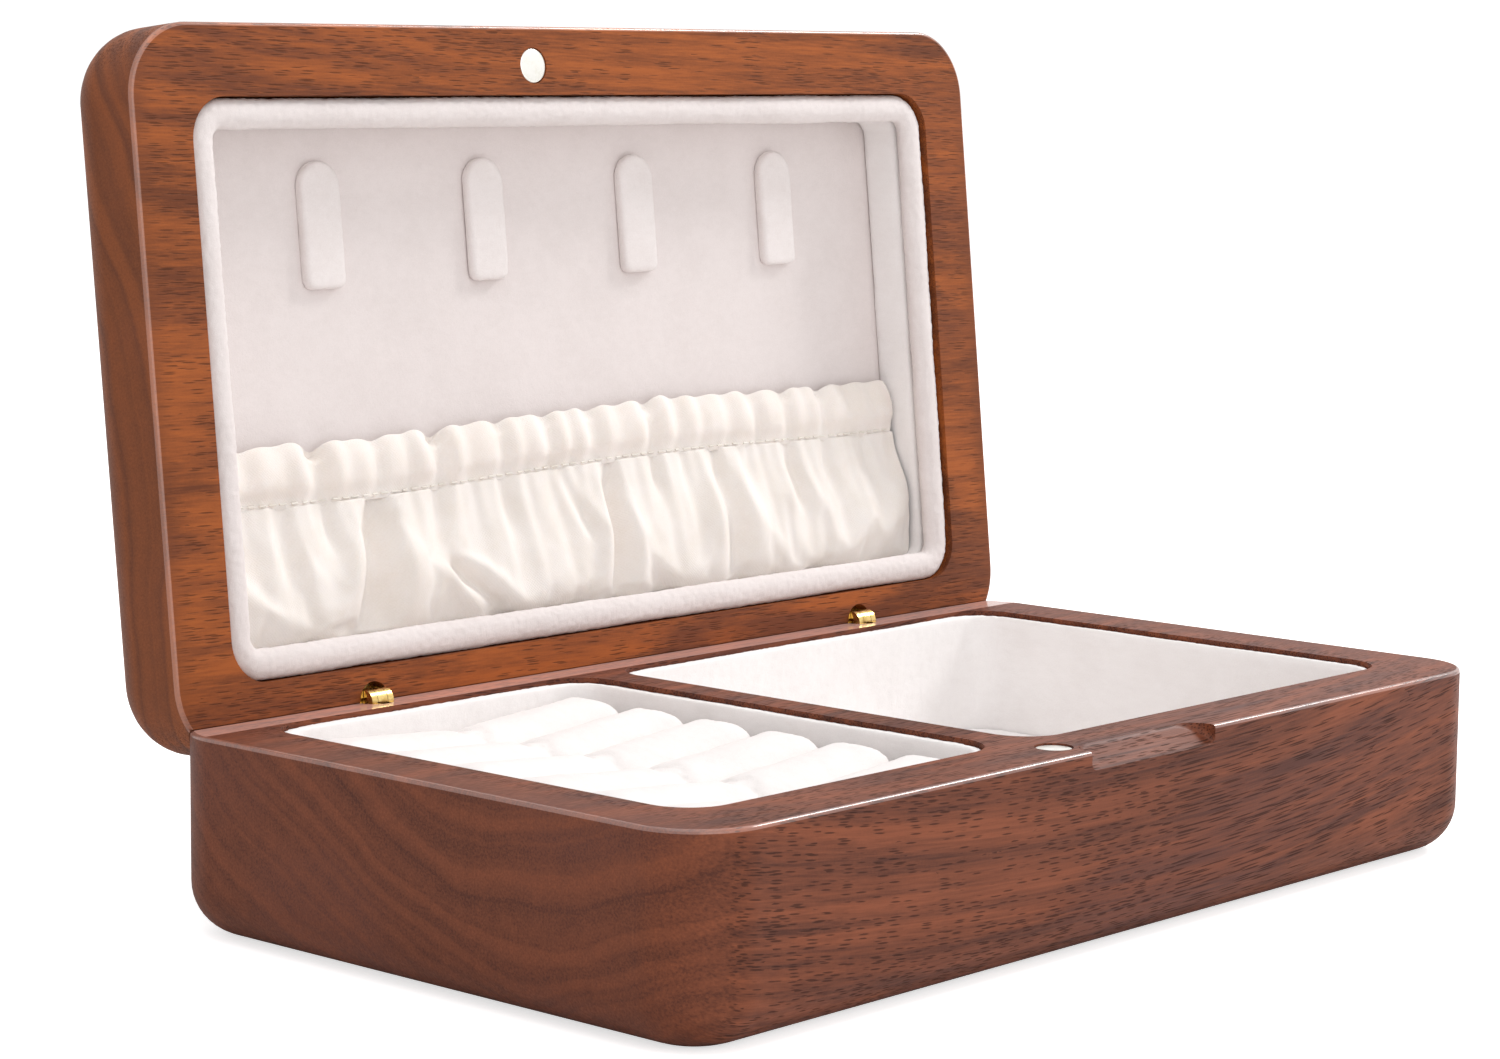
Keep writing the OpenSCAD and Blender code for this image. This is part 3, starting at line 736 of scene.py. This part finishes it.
def velvet_pile(net, given):
    """Clouds, brushed streaks and fibres of a short pile."""
    place = given["Place"]
    cloud = net.noise(place, 110.0, 3.0, 0.6)
    brush = net.stretched(place, (500.0, 260.0, 900.0))
    fibre = net.noise(place, 4200.0, 2.0, 0.7)
    tuft = net.noise(place, 1500.0, 2.0, 0.6)
    shade = net.times(net.span(cloud, 0.35, 0.68), given["Cloudiness"])
    shade = net.plus(shade, net.ramp(brush, 0.3, 0.7, -0.08, 0.14))
    shade = net.plus(shade, net.ramp(fibre, 0.25, 0.75, -0.2, 0.32), clamp=True)
    roughness = net.ramp(fibre, 0.3, 0.7, 0.82, 1.0)
    height = net.plus(net.times(fibre, 0.6), net.times(tuft, 0.6))
    return net.blend(shade, given["Pile"], given["Shadow Pile"]), roughness, height


pile_group = new_group("velvet_pile", {
    "Place": (0.0, 0.0, 0.0),
    "Pile": (0.9, 0.87, 0.85, 1),
    "Shadow Pile": (0.8, 0.76, 0.73, 1),
    "Cloudiness": 0.5,
}, velvet_pile)


def velvet_material(name, pile, shadow, cloudiness, nap_depth):
    values = {"Pile": (*pile, 1), "Shadow Pile": (*shadow, 1), "Cloudiness": cloudiness}
    return figured_material(name, pile_group, values, (0.5, nap_depth), VELVET_SHEEN)


# The velvet of the wells and the lid's walls is paler than the board's: painted light in their shade. The
# rim's is darker: painted shade on its lit top.
lining_velvet = velvet_material("lining_velvet", (0.77, 0.70, 0.685), (0.68, 0.61, 0.59), 0.25, LINING_NAP)
painted_light_velvet = velvet_material("painted_light_velvet", (0.91, 0.88, 0.87), (0.83, 0.79, 0.775), 0.3, LINING_NAP)
painted_shade_rim_velvet = velvet_material("painted_shade_rim_velvet", (0.75, 0.685, 0.67), (0.65, 0.58, 0.56), 0.3, PADDED_NAP)
roll_velvet = velvet_material("roll_velvet", (0.86, 0.82, 0.805), (0.78, 0.73, 0.71), 0.3, PADDED_NAP)
pad_velvet = velvet_material("pad_velvet", (0.82, 0.76, 0.745), (0.72, 0.65, 0.63), 0.3, PADDED_NAP)
print("velvet group has", len(pile_group.nodes), "nodes")

# %% [markdown]
# Every velvet form gets the same last treatment: an even remesh, a little smoothing, so that
# no edge is sharper than a pile can be, and a shallow displacement that roughens the outline.

# %% Velvet finish for a form
def cloud_texture(name, size, depth):
    texture = bpy.data.textures.new(name, "CLOUDS")
    texture.noise_scale = size
    texture.noise_depth = depth
    return texture


nap_texture = cloud_texture("nap", 0.8 * MM, 2)
swell_texture = cloud_texture("swell", 14 * MM, 1)


def plush(obj, grain, nap, swell, rounds=4):
    """Remesh a form evenly, ease its edges, and raise its swells and its nap."""
    modify(obj, "REMESH", mode="VOXEL", voxel_size=grain)
    modify(obj, "SMOOTH", factor=0.6, iterations=rounds)
    for texture, strength in ((swell_texture, swell), (nap_texture, nap)):
        modify(obj, "DISPLACE", texture=texture, texture_coords="LOCAL", strength=strength, mid_level=0.5)
    shade_soft(obj)
    return obj


# %% [markdown]
# The linings are card strips in velvet, pushed into the wells. A strip is the well's outline
# as an open tube, thickened inwards. The floor boards are plain rounded boards, eased by the
# same velvet finish.

# %% Linings of the two wells
LINING = 1.8 * MM


def wall_strip(name, low, high, corner, thickness):
    """A strip that follows a rounded outline, thickened inwards."""
    obj = block(name, low, high, corner)
    edit(obj, "FACE", lambda f: abs(f.normal.z) > 0.9, bpy.ops.mesh.delete, type="FACE")
    modify(obj, "SOLIDIFY", thickness=thickness, offset=-1, use_even_offset=True)
    return obj


for well in ("ring_well", "open_well"):
    low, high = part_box(well + "_wall_lining")
    strip = wall_strip(well + "_velvet_wall", low, high, WELL_CORNER - LINING_GAP, LINING)
    plush(strip, 0.6 * MM, 0.22 * MM, 0.25 * MM, 3)
    # The wells take the paler velvet: painted light in their shade.
    dress(strip, "base", "white_velvet", painted_light_velvet, well + "_wall_lining")
    board = block(well + "_velvet_floor", *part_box(well + "_floor_board"), WELL_CORNER - LINING)
    plush(board, 0.9 * MM, 0.15 * MM, 0.3 * MM)
    dress(board, "base", "white_velvet", painted_light_velvet, well + "_floor_board")

# %% [markdown]
# A ring roll is a foam bar in velvet, and it is the foam's push that rounds it. So one roll
# is swelled by Cloth's pressure with its foot held, at twenty times its size, where the
# solver is steadier. Its swelling is capped, because its neighbours press it flat, and the
# other five are copies with a nap of their own.

# %% Cloth at a workable size
SIM_SCALE = 20


def run_cloth(obj, frames, held, stiffness, bending, pressure=0.0, gravity=0.0, shrink=0.0):
    """Run Cloth on a piece that is held at some points, and keep its last shape."""
    obj.scale = (SIM_SCALE, SIM_SCALE, SIM_SCALE)
    settle(obj)
    pins = obj.vertex_groups.new(name="held")
    pins.add(held, 1.0, "REPLACE")
    cloth = obj.modifiers.new("cloth", "CLOTH")
    settings = cloth.settings
    settings.quality = 6
    settings.mass = 0.25
    settings.tension_stiffness = stiffness
    settings.compression_stiffness = stiffness
    settings.shear_stiffness = stiffness / 3
    settings.bending_stiffness = bending
    settings.tension_damping = 8
    settings.compression_damping = 8
    settings.shear_damping = 8
    settings.air_damping = 3
    settings.vertex_group_mass = pins.name
    settings.use_pressure = pressure > 0
    settings.uniform_pressure_force = pressure
    settings.shrink_min = shrink
    settings.effector_weights.gravity = gravity
    cloth.collision_settings.use_collision = False
    cloth.point_cache.frame_start = 1
    cloth.point_cache.frame_end = frames
    for frame_number in range(1, frames + 1):
        bpy.context.scene.frame_set(frame_number)
    focus(obj)
    bpy.ops.object.modifier_apply(modifier=cloth.name)
    bpy.context.scene.frame_set(1)
    obj.vertex_groups.clear()
    obj.scale = (1 / SIM_SCALE, 1 / SIM_SCALE, 1 / SIM_SCALE)
    settle(obj)


def clamp(value, low, high):
    return min(max(value, low), high)


# %% Six ring rolls
ROLL_SHRINK = 0.25 * MM
ROLL_CORNER = 3.5 * MM
ROLL_TOP_ROUND = 5 * MM
ROLL_STEPS = 10
ROLL_FOOT = 1.5 * MM
ROLL_RISE = 0.3 * MM

roll_low, roll_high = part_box("ring_roll_1")
inner_low = roll_low + Vector((ROLL_SHRINK, ROLL_SHRINK, 0))
inner_high = roll_high - Vector((ROLL_SHRINK, ROLL_SHRINK, ROLL_SHRINK))
first_roll = block("first_roll", inner_low, inner_high, ROLL_CORNER, ROLL_STEPS)
round_edges(first_roll, level_at(inner_high.z), ROLL_TOP_ROUND, ROLL_STEPS)
modify(first_roll, "REMESH", mode="VOXEL", voxel_size=1.1 * MM)
foot = [v.index for v in first_roll.data.vertices if v.co.z < roll_low.z + ROLL_FOOT]
run_cloth(first_roll, 16, foot, 12, 0.5, pressure=7.0)
for vertex in first_roll.data.vertices:
    vertex.co.x = clamp(vertex.co.x, roll_low.x, roll_high.x)
    vertex.co.y = clamp(vertex.co.y, roll_low.y, roll_high.y)
    vertex.co.z = clamp(vertex.co.z, roll_low.z, roll_high.z + ROLL_RISE)
print("first roll is", [round(d / MM, 1) for d in first_roll.dimensions], "mm")

for number in range(1, 7):
    node = "ring_roll_" + str(number)
    roll = first_roll.copy()
    roll.data = first_roll.data.copy()
    roll.name = roll.data.name = "ring_cushion_" + str(number)
    bpy.context.collection.objects.link(roll)
    roll.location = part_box(node)[0] - roll_low
    settle(roll)
    plush(roll, 0.75 * MM, 0.2 * MM, 0.5 * MM, 2)
    dress(roll, "base", "white_velvet", roll_velvet, node)
bpy.data.objects.remove(first_roll)

# %% [markdown]
# The lid's lining has three layers: a board at the bottom, padded walls round it, and a
# piped rim that covers the joint with the wood. The rim is a curve with a round section,
# which is how piping is made: cord inside a folded strip. It is then pressed a little flat.

# %% Back board and padded walls of the lid
PAD = 4.2 * MM
LINED_CORNER = RECESS_CORNER - LINING_GAP

velvet_board = block("lid_velvet_board", board_low, board_high, LINED_CORNER)
open_lid(plush(velvet_board, 0.9 * MM, 0.12 * MM, 0.3 * MM))
dress(velvet_board, "lid", "white_velvet", lining_velvet, "lid_back_board")

velvet_wall = wall_strip("lid_velvet_wall", *shut_box("lid_wall_pad"), LINED_CORNER, PAD)
open_lid(plush(velvet_wall, 0.75 * MM, 0.2 * MM, 0.5 * MM))
# The walls take the paler velvet: painted light in their shade.
dress(velvet_wall, "lid", "white_velvet", painted_light_velvet, "lid_wall_pad")

# %% The piped rim
PIPING_WIDTH = 5.1 * MM

rim_low, rim_high = shut_box("lid_padded_rim")
rim_radius = PIPING_WIDTH / 2
rim_flat = (rim_high.z - rim_low.z) / PIPING_WIDTH
rim_middle = (rim_low.z + rim_high.z) / 2
rim_inset = Vector((rim_radius, rim_radius, 0))
piping = block("lid_piping", rim_low + rim_inset, rim_high - rim_inset, LINED_CORNER - rim_radius)
edit(piping, "VERT", lambda v: v.co.z > rim_middle, bpy.ops.mesh.delete, type="VERT")
edit(piping, "FACE", everything, bpy.ops.mesh.delete, type="ONLY_FACE")
edit(piping, "VERT", everything, bpy.ops.transform.translate, value=(0, 0, rim_middle - rim_low.z))
bpy.ops.object.convert(target="CURVE")
piping = bpy.context.object
piping.data.dimensions = "3D"
piping.data.bevel_depth = rim_radius
piping.data.bevel_resolution = 6
bpy.ops.object.convert(target="MESH")
piping = bpy.context.object
edit(piping, "VERT", everything, bpy.ops.transform.resize, value=(1, 1, rim_flat),
     center_override=(0, 0, rim_middle))
open_lid(plush(piping, 0.45 * MM, 0.35 * MM, 0.3 * MM, 2))
# The rim takes the darker velvet: painted shade on its lit top.
dress(piping, "lid", "white_velvet", painted_shade_rim_velvet, "lid_padded_rim")

# %% [markdown]
# A necklace tab is a strip of card in velvet, sewn flat to the board: its far end is round
# and its near end is square with eased corners. It is thickest along its middle.

# %% Four necklace tabs
TAB_CORNER = 1.6 * MM
TAB_EASE = 0.4 * MM
TAB_FACE_ROUND = 0.7 * MM
TAB_END_FLAT = 0.02 * MM

for number in range(1, 5):
    node = "necklace_tab_" + str(number)
    low, high = shut_box(node)
    low += Vector((TAB_EASE, 2 * TAB_EASE, 0))
    high.x -= 2 * TAB_EASE
    round_end = (high.x - low.x) / 2 - TAB_END_FLAT
    middle_y = (low.y + high.y) / 2
    tab = block("velvet_tab_" + str(number), low, high)
    round_edges(tab, lambda a, b: upright(a, b) and a.y < middle_y, round_end, ROUND_STEPS)
    round_edges(tab, lambda a, b: upright(a, b) and a.y > middle_y, TAB_CORNER, 6)
    round_edges(tab, level_at(low.z), TAB_FACE_ROUND, 4)
    open_lid(plush(tab, 0.38 * MM, 0.12 * MM, 0.15 * MM, 3))
    dress(tab, "lid", "white_velvet", pad_velvet, node)

# %% [markdown]
# The pocket is one cut of soft cotton. Elastic in the sleeve along its top draws it in, so
# the sleeve puckers and the cloth below hangs in folds that run from the stitches to the seam.
# The folds are listed, each by the ends of its line, and Cloth then relaxes them.

# %% The folds of the pocket
POCKET_LEFT, POCKET_RIGHT = (corner.x for corner in shut_box("pocket_cloth"))
POCKET_WIDTH = POCKET_RIGHT - POCKET_LEFT
SEAM_UP = 9.7 * MM
STITCH_UP = 33.6 * MM
SEAM_DEPTH = 7.8 * MM
DEEPEST = 10.9 * MM
STITCH_DEPTH = 9.0 * MM
BULGE = 3.3 * MM

# Each fold: its place at the stitches and at the seam in millimetres, where it starts and
# stops on the way down, from 0 at the stitches to 1 at the seam, and its depth and width
FOLDS = [
    (-69, -71, 0.0, 0.7, 1.6, 2.4), (-48, -55, 0.0, 1.0, 4.2, 3.6), (-59, -62, 0.0, 0.45, 1.0, 2.0),
    (-35, -39, 0.0, 0.55, 1.6, 2.4), (-46, -24, 0.45, 1.0, 3.2, 2.6), (-20, -17, 0.0, 0.5, 1.2, 2.2),
    (-6, 3, 0.0, 0.6, 1.2, 1.6), (6.5, 3, 0.0, 1.0, 3.8, 2.4), (17.5, 18.5, 0.0, 0.4, 1.6, 2.0),
    (13, 15, 0.8, 1.0, 2.4, 3.4), (33.5, 34.5, 0.0, 1.0, 2.6, 2.6), (42, 41, 0.0, 0.4, 1.0, 1.8),
    (53, 55, 0.0, 0.62, 2.0, 2.2), (54, 56, 0.85, 1.0, 2.2, 3.4), (64, 62, 0.0, 0.5, 1.2, 2.0),
    (74, 76, 0.0, 0.8, 1.0, 2.6),
]
# Each gather of the sleeve: its place, its depth and its width in millimetres
GATHERS = [
    (-76, 0.9, 1.6), (-68, 0.5, 1.2), (-60.5, 2.6, 2.2), (-54, 0.5, 1.2), (-47.5, 1.0, 1.5), (-41, 0.6, 1.2),
    (-34, 2.4, 2.0), (-27, 0.7, 1.4), (-19, 1.3, 1.5), (-13.5, 0.6, 1.2), (-8, 1.5, 1.6), (-2.5, 0.7, 1.2),
    (3, 1.5, 1.6), (10, 0.7, 1.3), (17.6, 1.6, 1.6), (24.8, 1.4, 1.4), (31, 0.5, 1.2), (38, 0.8, 1.3),
    (44.8, 1.5, 1.5), (53.7, 1.5, 1.5), (59, 0.5, 1.2), (64, 1.6, 1.6), (71, 0.6, 1.3), (78, 0.8, 1.3),
]
print(len(FOLDS), "folds and", len(GATHERS), "gathers")


# %% Points of the open lid, and the line of the stitches
def lid_point(x, up, depth):
    """A point of the open lid: along it, up from the hinge line, and into its recess."""
    return swing_open @ Vector((x, hinge_point.y - up, lid_low.z + depth))


def pleat(distance, width):
    """Section of one fold: a valley with a smaller ridge on each side."""
    d = distance / width
    return math.exp(-d * d) - 0.42 * (math.exp(-((d - 1.7) ** 2)) + math.exp(-((d + 1.7) ** 2)))


def ease(value):
    """Smooth step from 0 to 1."""
    t = clamp(value, 0.0, 1.0)
    return t * t * (3 - 2 * t)


def ripple(x):
    """Small regular puckers along the stitches, which wander in width."""
    turn = x * 2.1 / MM + 1.8 * noise.noise(Vector((x * 90, 0.0, 4.0)))
    return math.sin(turn) * (0.6 + 0.5 * noise.noise(Vector((x * 60, 9.0, 0.0))))


def stitch_up(x):
    """The stitch line wanders: the elastic pulls it down left of the middle."""
    return STITCH_UP + (0.9 * math.sin(x * 19) + 0.5 * math.sin(x * 47 + 1)) * MM


def stitch_depth(x):
    """How deep in the recess the stitches lie, as the gathers push them."""
    pulled = sum(size * pleat(x / MM - place, width) for place, size, width in GATHERS)
    return STITCH_DEPTH + (0.18 * ripple(x) + 0.25 * pulled) * MM


# %% The hanging cloth of the pocket
CLOTH_COLUMNS = 210
CLOTH_ROWS = 34
pocket = start_shape("pocket_panel", bpy.ops.mesh.primitive_grid_add, x_subdivisions=CLOTH_COLUMNS,
                     y_subdivisions=CLOTH_ROWS, size=1)


def hanging_point(across, down):
    """Where a point of the panel hangs: across from 0 to 1, down from the stitches to the seam."""
    x = POCKET_LEFT + POCKET_WIDTH * across
    lumps = noise.noise(Vector((x * 40, down * 1.6, 2.0)))
    # It leaves the stitches slowly and is fullest low down, where it folds under to the seam
    shelf = ease((down - 0.1) / 0.45)
    swell = 0.25 * math.sin(math.pi * down) + 0.75 * shelf * math.sin(math.pi * min(down, 0.985)) ** 0.35
    swell *= 0.78 + 0.22 * math.sin(math.pi * across)
    depth = stitch_depth(x) * (1 - down) + SEAM_DEPTH * down - BULGE * swell * (1 + 0.3 * lumps)
    fading = math.sin(math.pi * clamp(down, 0.05, 0.95)) ** 0.6
    for top, bottom, start, stop, size, width in FOLDS:
        share = ease((down - start) / 0.18 + (start == 0)) * ease((stop - down) / 0.25 + (stop == 1))
        line = top + (bottom - top) * down
        depth += size * MM * share * pleat(x / MM - line, width * (0.7 + 0.5 * down)) * fading
    depth += 0.08 * MM * ripple(x) * (1 - ease(down / 0.35))
    up = stitch_up(x) * (1 - down) + SEAM_UP * down + 0.9 * MM * math.sin(math.pi * down) * lumps
    return lid_point(x, up, min(depth, DEEPEST))


for vertex in pocket.data.vertices:
    vertex.co = hanging_point(vertex.co.x + 0.5, 0.5 - vertex.co.y)
edge_use = {}
for face in pocket.data.polygons:
    for key in face.edge_keys:
        edge_use[key] = edge_use.get(key, 0) + 1
held = sorted({index for key, count in edge_use.items() if count == 1 for index in key})
print("pocket panel:", len(pocket.data.vertices), "points,", len(held), "held")

# %% Relax the cloth, keep it between the board and the closed box, and give it its thickness
POCKET_FRONT = lid_low.z + 2.2 * MM
POCKET_BACK = board_low.z - 1.05 * MM
CLOTH = 0.5 * MM

run_cloth(pocket, 14, held, 20, 0.2, gravity=0.15, shrink=-0.04)
modify(pocket, "SMOOTH", factor=0.5, iterations=4)
for vertex in pocket.data.vertices:
    flat = swing_shut @ vertex.co
    flat.z = clamp(flat.z, POCKET_FRONT, POCKET_BACK)
    vertex.co = swing_open @ flat
edit(pocket, "FACE", everything, bpy.ops.mesh.normals_make_consistent, inside=False)
if sum((f.normal for f in pocket.data.polygons), Vector()).y > 0:
    edit(pocket, "FACE", everything, bpy.ops.mesh.flip_normals)
modify(pocket, "SOLIDIFY", thickness=CLOTH, offset=-1, use_even_offset=False)
modify(pocket, "SUBSURF", levels=1, render_levels=1)
shade_soft(pocket)

# %% The puckered sleeve above the stitches
SLEEVE_HEIGHT = 9.4 * MM
SLEEVE_TUCK = 0.8 * MM
BAND_FRONT = 9.7 * MM
SLEEVE_BACK = DEEPEST + 0.7 * MM
SLEEVE_COLUMNS = 330
SLEEVE_ROUND = 30
ALONG_X = (0, QUARTER_TURN, 0)
sleeve = start_shape("pocket_sleeve", bpy.ops.mesh.primitive_cylinder_add, vertices=SLEEVE_ROUND,
                     radius=0.5, depth=1, end_fill_type="NGON", rotation=ALONG_X)
settle(sleeve)
edit_edges(sleeve, lambda a, b: abs(a.x - b.x) > 0.5, bpy.ops.mesh.subdivide, number_cuts=SLEEVE_COLUMNS)


def gathered(x, rise):
    """How far the gathers push in at one place of the sleeve, rise going from 0 to 1."""
    total = 0.0
    for place, size, width in GATHERS:
        lean = 1.6 * noise.noise(Vector((place * 0.37, 1.0, 5.0))) * (1 - rise)
        away = x / MM - place - lean
        narrow = math.exp(-(2.6 * away / width) ** 2)
        push = pleat(away, width * (0.75 + 0.5 * rise)) + 0.9 * narrow
        total += size * push * (0.55 + 0.45 * ease(rise * 1.3))
    return total


def sleeve_point(x, turn):
    """A point round the sleeve's section: turn 0 is its foot, a quarter its front, a half its top."""
    rise = (1 - math.cos(2 * math.pi * turn)) / 2
    front = math.sin(2 * math.pi * turn)
    lump = noise.noise(Vector((x * 120, rise * 1.5, 7.0)))
    edge = 0.5 * noise.noise(Vector((x * 70, 3.0, 3.0))) - 0.42 * gathered(x, 1.0)
    up = stitch_up(x) + (SLEEVE_HEIGHT + edge * MM) * rise - SLEEVE_TUCK * (1 - ease(rise / 0.12))
    belly = math.sin(math.pi * min(rise * 0.93 + 0.07, 1.0)) ** 0.6
    middle = stitch_depth(x) + (0.2 + 0.9 * rise) * MM
    if front < 0:
        return lid_point(x, up, min(middle + (0.3 + 1.1 * belly) * MM * (-front) ** 0.7, SLEEVE_BACK))
    puff = (1.25 + 0.4 * lump) * belly * ease(rise / 0.3)
    crease = 0.62 * gathered(x, rise) * (0.5 + 0.5 * belly) + 0.3 * ripple(x) * (1 - ease(rise / 0.45))
    depth = middle - (0.2 + puff) * MM * front ** 0.7 + crease * MM * min(1.0, front * 1.6) * ease(rise / 0.1)
    return lid_point(x, up, min(depth, BAND_FRONT) if rise < 0.85 else depth)


for vertex in sleeve.data.vertices:
    turn = math.atan2(-vertex.co.y, -vertex.co.z) / (2 * math.pi) % 1.0
    vertex.co = sleeve_point(POCKET_LEFT + POCKET_WIDTH * (vertex.co.x + 0.5), turn)
edit(sleeve, "FACE", everything, bpy.ops.mesh.normals_make_consistent, inside=False)
modify(sleeve, "SUBSURF", levels=1, render_levels=1)
shade_soft(sleeve)

# %% [markdown]
# The line of stitches is what makes the sleeve read as sewn. Each stitch is a short thread
# that lies in its own dimple, and one is modelled and then copied along the line.

# %% Stitches
STITCH_PITCH = 2.2 * MM
STITCH_LENGTH = 1.3 * MM
THREAD = 0.16 * MM
one_stitch = start_shape("one_stitch", bpy.ops.mesh.primitive_cylinder_add, vertices=8, radius=THREAD,
                         depth=STITCH_LENGTH, rotation=ALONG_X)
settle(one_stitch)
edit(one_stitch, "FACE", lambda f: abs(f.normal.x) > 0.9, bpy.ops.mesh.inset, thickness=THREAD * 0.5,
     depth=THREAD * 0.4)


def stitch_point(x):
    """A point of the stitch line, just proud of the cloth."""
    return lid_point(x, stitch_up(x) + 0.1 * MM, stitch_depth(x) - 0.15 * MM)


stitches = []
place = POCKET_LEFT + STITCH_PITCH
while place < POCKET_RIGHT - STITCH_PITCH:
    stitch = one_stitch.copy()
    stitch.data = one_stitch.data.copy()
    bpy.context.collection.objects.link(stitch)
    here = stitch_point(place)
    along = (stitch_point(place + 1 * MM) - here).to_track_quat("X", "Z")
    stitch.matrix_world = Matrix.Translation(here) @ along.to_matrix().to_4x4()
    stitches.append(stitch)
    place += STITCH_PITCH
bpy.data.objects.remove(one_stitch)
focus(stitches[0])
for stitch in stitches:
    stitch.select_set(True)
bpy.ops.object.join()
stitch_line = bpy.context.object
stitch_line.name = stitch_line.data.name = "pocket_stitches"
settle(stitch_line)
print(len(stitches), "stitches")

# %% [markdown]
# Cotton cloth shows its crossed threads only up close, and small cloudy changes of tone from
# further off. The threads are two sine waves of the object's own coordinates, turned with
# the open lid so that they run along and across the pocket.

# %% Pocket cotton, thread and elastic
LID_LEAN = open_angle - QUARTER_TURN
COTTON_FINISH = {
    "Sheen Weight": 0.15,
    "Sheen Roughness": 0.5,
    "Specular IOR Level": 0.15,
    "Subsurface Weight": 0.12,
    "Subsurface Radius": (2 * MM, 1.4 * MM, 1 * MM),
    "Subsurface Scale": 1.0,
}


def cotton_material(name, cloth, shadow, threads_per_metre):
    """Cloth with crossed threads, a fuzz and cloudy tones."""
    material, shader, net = new_material(name)
    place = turned(net, net.add("TexCoord").outputs["Object"], (LID_LEAN, 0, 0))
    x, _, z = net.split(place)
    wobble = net.times(net.noise(place, 900.0), 5.0)
    step = 2 * math.pi * threads_per_metre
    warp, weft = (net.math("SINE", net.plus(net.times(axis, step), wobble)) for axis in (x, z))
    weave = net.times(warp, weft)
    cloud = net.noise(place, 160.0, 3.0)
    fuzz = net.noise(place, 3600.0, 2.0, 0.7)
    shade = net.plus(net.span(cloud, 0.35, 0.7, 0.0, 0.4), net.times(weave, 0.08))
    shade = net.plus(shade, net.ramp(fuzz, 0.3, 0.7, -0.12, 0.2), clamp=True)
    net.fill(shader, {
        "Base Color": net.blend(shade, (*cloth, 1), (*shadow, 1)),
        "Roughness": net.ramp(fuzz, 0.3, 0.7, 0.85, 1.0),
        "Normal": net.bump(net.plus(net.times(weave, 0.35), fuzz), 0.4, 0.1 * MM),
        **COTTON_FINISH,
    })
    return material


pocket_cotton = cotton_material("pocket_cotton", (0.84, 0.775, 0.73), (0.76, 0.68, 0.61), 1800)
thread_cotton = cotton_material("thread_cotton", (0.80, 0.75, 0.68), (0.66, 0.60, 0.53), 3000)
elastic_band = cotton_material("elastic_band", (0.86, 0.86, 0.85), (0.7, 0.7, 0.69), 900)

# %% [markdown]
# The panel was cut a fifth wider than its sewn size for the gathers and a little taller for
# the bulge. The elastic is a flat band in the sleeve.

# %% Dress the pocket, and put in its elastic
dress(pocket, "lid", "pocket_cotton", pocket_cotton, "pocket_cloth")
dress(sleeve, "lid", "pocket_cotton", pocket_cotton, "pocket_header")
dress(stitch_line, "lid", "pocket_cotton", thread_cotton)
cloth_area = sum(face.area for face in pocket.data.polygons) / 2
print("pocket cloth is", round(cloth_area / MM ** 2), "square mm")

ELASTIC_SHORTER = 2 * MM
elastic_low, elastic_high = shut_box("pocket_elastic")
elastic_low.y += ELASTIC_SHORTER
elastic = block("pocket_elastic_band", elastic_low, elastic_high)
round_edges(elastic, lambda a, b: abs(a.x - b.x) > 0.1, 0.25 * MM, 3)
shade_by_angle(elastic, 35)
dress(open_lid(elastic), "lid", "elastic", elastic_band, "pocket_elastic")

# %% [markdown]
# Two metals: brass for the hinges and nickel for the magnets. Both are polished, then dulled
# by handling, so their roughness is patchy and their colour darkens a little in the patches.

# %% Brass and nickel
METAL_RELIEF = (0.15, 0.03 * MM)


def handled_metal(net, given):
    """Dull patches and fine scratches on a polish."""
    patch = net.span(net.noise(given["Place"], 700.0, 3.0, 0.6), 0.4, 0.7)
    scratch = net.stretched(given["Place"], (600.0, 9000.0, 9000.0))
    roughness = net.plus(given["Polish"], net.times(patch, 0.16))
    return net.blend(patch, given["Bright"], given["Dulled"]), roughness, scratch


handled_group = new_group("handled_metal", {
    "Place": (0.0, 0.0, 0.0),
    "Bright": (0.9, 0.75, 0.4, 1),
    "Dulled": (0.6, 0.42, 0.16, 1),
    "Polish": 0.2,
}, handled_metal)


def metal_material(name, bright, dulled, polish):
    values = {"Bright": (*bright, 1), "Dulled": (*dulled, 1), "Polish": polish}
    return figured_material(name, handled_group, values, METAL_RELIEF, {"Metallic": 1.0})


brass = metal_material("hinge_brass", (0.86, 0.62, 0.24), (0.55, 0.34, 0.09), 0.2)
nickel = metal_material("magnet_nickel", (0.93, 0.91, 0.86), (0.78, 0.76, 0.70), 0.3)

for side in ("left", "right"):
    for node in ("base_hinge_barrel_", "lid_hinge_barrel_", "hinge_pin_"):
        metal_mesh = frame["nodes"][node + side].data
        metal_mesh.materials.clear()
        metal_mesh.materials.append(brass)

# %% [markdown]
# The magnets are plated discs pressed into their bores, the lid's one flush and the base's
# one sunk a quarter of a millimetre. A disc's rim is ground, so it has a small round bevel.

# %% The two magnets
MAGNET_RIM = 0.35 * MM
MAGNET_RISE = 0.25 * MM


def disc(name, centre, low_z, high_z):
    """A magnet with round rims."""
    obj = peg(name, centre, magnet_radius, low_z, high_z, 64)
    round_edges(obj, lambda a, b: abs(a.z - b.z) < NEAR, MAGNET_RIM, 4)
    shade_by_angle(obj, 40)
    return obj


base_disc = disc("base_disc_magnet", magnet_middle, magnet_low.z, magnet_high.z + MAGNET_RISE)
dress(base_disc, "base", "nickel_plate", nickel, "base_magnet")
lid_disc = disc("lid_disc_magnet", lid_magnet_middle, lid_magnet_low.z, lid_magnet_high.z)
dress(open_lid(lid_disc), "lid", "nickel_plate", nickel, "lid_magnet")
